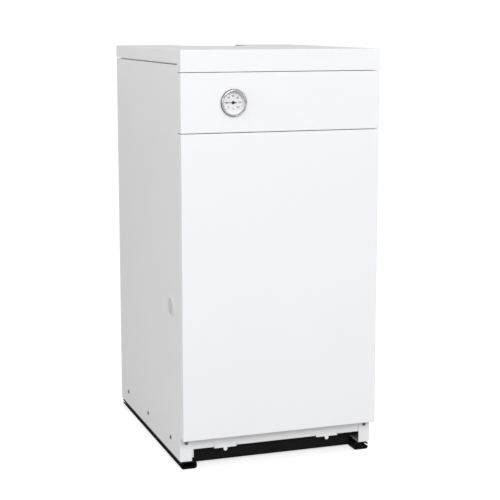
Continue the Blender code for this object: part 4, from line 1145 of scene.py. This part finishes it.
def make_gas_valve():
    knob = joint_axis("knob_turn")
    face = knob.y
    make_valve_body(knob, face)
    make_knob(knob, face)
    for node, slot in (("pilot_button", "grey_plastic"), ("off_button", "red_plastic")):
        low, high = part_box(node)
        spot = middle(node)
        reach, root, r = face - low.y, face - high.y, half_width(node)
        profile = [(0, root), (r, root), (r, reach - 0.0012), (r - 0.0012, reach),
                   (r - 0.003, reach - 0.0002), (0, reach - 0.0008)]
        button = lathe(node.replace("button", "key"), profile, (spot.x, face, spot.z), FORWARDS, sides=72,
                       fillet=0.0004)
        place(button, node, slot, node)


def make_gas_union():
    low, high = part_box("gas_inlet_union")
    gas_y, gas_z = middle("gas_inlet_union").yz
    start, end = -high.x, -low.x
    bore, neck, collar = 0.0080, 0.0105, 0.0165
    profile = [(bore, start), (collar, start), (collar, start + 0.016), (neck, start + 0.018),
               (neck, end - 0.021), (0.0150, end - 0.020)]
    profile += threads(collar, 0.0010, end - 0.0185, end - 0.001, 0.0018) + [(0.0155, end), (bore, end)]
    union = lathe("inlet_union", profile, (0, gas_y, gas_z), (-1, 0, 0), True)
    place(union, "root", "brass", "gas_inlet_union")
    nut = hex_nut("union_nut", (0, gas_y, gas_z), (-1, 0, 0), 0.0200, start + 0.001, start + 0.015,
                  collar + 0.0003)
    place(nut, "root", "brass")


def make_igniter():
    low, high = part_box("piezo_igniter")
    button = middle("piezo_button")
    centre = (button.x, 0, button.z)
    front, mouth, barrel_r = low.y, 0.0075, 0.0100
    bracket_y = -0.2140
    path = [(bracket_y, high.z), (bracket_y, low.z), (-0.182, low.z)]
    bracket = bent_strip("igniter_bracket", path, "X", low.x, high.x)
    cut(bracket, rod(0.0098, -0.23, -0.20, centre, BACKWARDS))
    place(soften(bracket, PLATED_EDGE), "root", "black_plastic", finish="galvanised_sheet")
    barrel = [(mouth, front), (barrel_r, front), (barrel_r, front + 0.001)]
    barrel += threads(barrel_r, 0.0006, front + 0.002, front + 0.022, 0.0012)
    barrel += [(0.0092, front + 0.024), (0.0092, high.y), (0, high.y), (0, front + 0.018),
               (mouth, front + 0.018)]
    body = lathe("igniter_body", barrel[::-1], centre, BACKWARDS, True, 72, 0.0001)
    place(body, "root", "black_plastic", "piezo_igniter")
    nut = hex_nut("igniter_nut", centre, BACKWARDS, 0.0140, -0.2195, bracket_y - 0.0003, barrel_r + 0.0001)
    place(nut, "root", "black_plastic")
    reach, root = (corner.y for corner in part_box("piezo_button"))
    r = half_width("piezo_button")
    profile = [(0, root), (r, root), (r, reach + 0.001), (r - 0.001, reach), (0, reach + 0.0006)]
    key = lathe("igniter_key", profile, centre, BACKWARDS, sides=72, fillet=0.0004)
    place(key, "piezo_button", "red_plastic", "piezo_button")


def make_sight_flap():
    low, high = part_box("sight_flap")
    pivot = joint_axis("flap_swing")
    tangent = math.degrees(math.asin((FLAP_R - FLAP_EYE_R) / FLAP_DROP))
    outline = arc((pivot.x, pivot.z - FLAP_DROP), FLAP_R, 180 - tangent, 360 + tangent, 40)
    outline += arc((pivot.x, pivot.z), FLAP_EYE_R, tangent, 180 - tangent, 16)
    flap = prism("sight_cover", outline, "Y", low.y, high.y)
    cut(flap, hole(0.0033, pivot, BACKWARDS, 40))
    place(soften(flap, HEAVY_EDGE), "sight_flap", "stainless_steel", "sight_flap")


# --- Camera, light and stage ----------------------------------------------------------

def make_camera():
    data = bpy.data.cameras.new("camera")
    data.lens = 95.14
    data.shift_x = -0.0096
    data.shift_y = -0.05
    data.clip_end = 100
    camera = linked("camera", data)
    camera.location = (-0.9208, -2.7438, 0.9035)
    camera.rotation_euler = (math.radians(90 - 8.745), 0, math.radians(-19.285))
    bpy.context.scene.camera = camera


def make_light(name, spot, aim, size, power, tint=(1, 1, 1)):
    """A square light that shines at a height on the object's middle line."""
    data = bpy.data.lights.new(name, "AREA")
    data.shape = "SQUARE"
    data.size = size
    data.energy = power
    data.color = tint
    light = linked(name, data)
    light.location = spot
    light.rotation_euler = (Vector((0, 0, aim)) - Vector(spot)).to_track_quat("-Z", "Y").to_euler()


def camera_switch(tree, for_light, for_camera):
    """Show the camera one shader and every other ray another."""
    ray = shader_node(tree, "LightPath")
    choice = shader_node(tree, "MixShader")
    tree.links.new(ray.outputs["Is Camera Ray"], choice.inputs["Fac"])
    tree.links.new(for_light.outputs[0], choice.inputs[1])
    tree.links.new(for_camera.outputs[0], choice.inputs[2])
    return choice


def floor_material(ray_share):
    """A pale floor that looks white, but throws less light back up than it shows."""
    pale = material("pale_floor", grey(0.50), grey(0.52), (0.75, 0.85), 2, 10)
    tree = pale.node_tree
    glow = camera_switch(tree, shader_node(tree, "Emission", Strength=0),
                         shader_node(tree, "Emission", Strength=ray_share))
    both = shader_node(tree, "AddShader")
    tree.links.new(tree.nodes["Principled BSDF"].outputs["BSDF"], both.inputs[0])
    tree.links.new(glow.outputs["Shader"], both.inputs[1])
    tree.links.new(both.outputs["Shader"], tree.nodes["Material Output"].inputs["Surface"])
    return pale


def make_studio():
    """A bright, even room: white behind, a pale floor, and a large soft light in front."""
    scene = bpy.context.scene
    scene.view_settings.view_transform = "Standard"
    scene.world = bpy.data.worlds.new("studio")
    scene.world.use_nodes = True
    tree = scene.world.node_tree
    room = tree.nodes["Background"]
    room.inputs["Color"].default_value = (1, 1, 1, 1)
    room.inputs["Strength"].default_value = 0.62
    seen = shader_node(tree, "Background", Color=(1, 1, 1, 1), Strength=1.02)
    choice = camera_switch(tree, room, seen)
    tree.links.new(choice.outputs["Shader"], tree.nodes["World Output"].inputs["Surface"])
    form = bmesh.new()
    bmesh.ops.create_circle(form, cap_ends=True, radius=14, segments=96)
    floor = mesh_object("floor", form)
    floor.data.materials.append(floor_material(ray_share=0.68))
    make_light("front_light", (0.2, -4.6, 2.9), 0.42, 2.2, 136, (0.970, 0.975, 1.0))
    make_light("left_light", (-3.0, -0.6, 1.4), 0.55, 1.5, 24, (1.0, 0.998, 0.985))
    make_light("top_light", (0, 0.1, 3.0), 0.8, 2.0, 1)


make_camera()
make_studio()
make_lid()
make_fascia()
make_door()
make_side_panels()
make_rear_panel()
make_front_rail()
make_base()
make_casing_screws()
make_plug()
make_door_magnet()
make_thermometer()
make_hood()
make_jacket()
make_water_pipes()
make_sensor_pocket(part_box("boiler_body")[0].y)
make_drain_cock(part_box("boiler_body")[0].y)
make_burner_plate()
make_burner_bars()
make_gas_train()
make_gas_valve()
make_gas_union()
make_igniter()
make_sight_flap()

# Bent wires and thin pipes: their CAD shapes, smoothed
WIRES = {"pilot_burner": "copper", "thermocouple": "copper", "ignition_electrode": "ceramic_white",
         "thermometer_capillary": "copper"}
for node, slot in WIRES.items():
    modify(keep(node, slot), "SUBSURF", levels=2, render_levels=2)

KEPT = {
    "hinge_bracket_upper": "galvanised_sheet", "hinge_bracket_lower": "galvanised_sheet",
    "hinge_eye_upper": "galvanised_sheet", "hinge_eye_lower": "galvanised_sheet",
    "boiler_body": "boiler_steel",
    "flue_baffle_1": "stainless_steel", "flue_baffle_2": "stainless_steel",
    "flue_baffle_3": "stainless_steel",
}
for node, slot in KEPT.items():
    dress(node, slot)
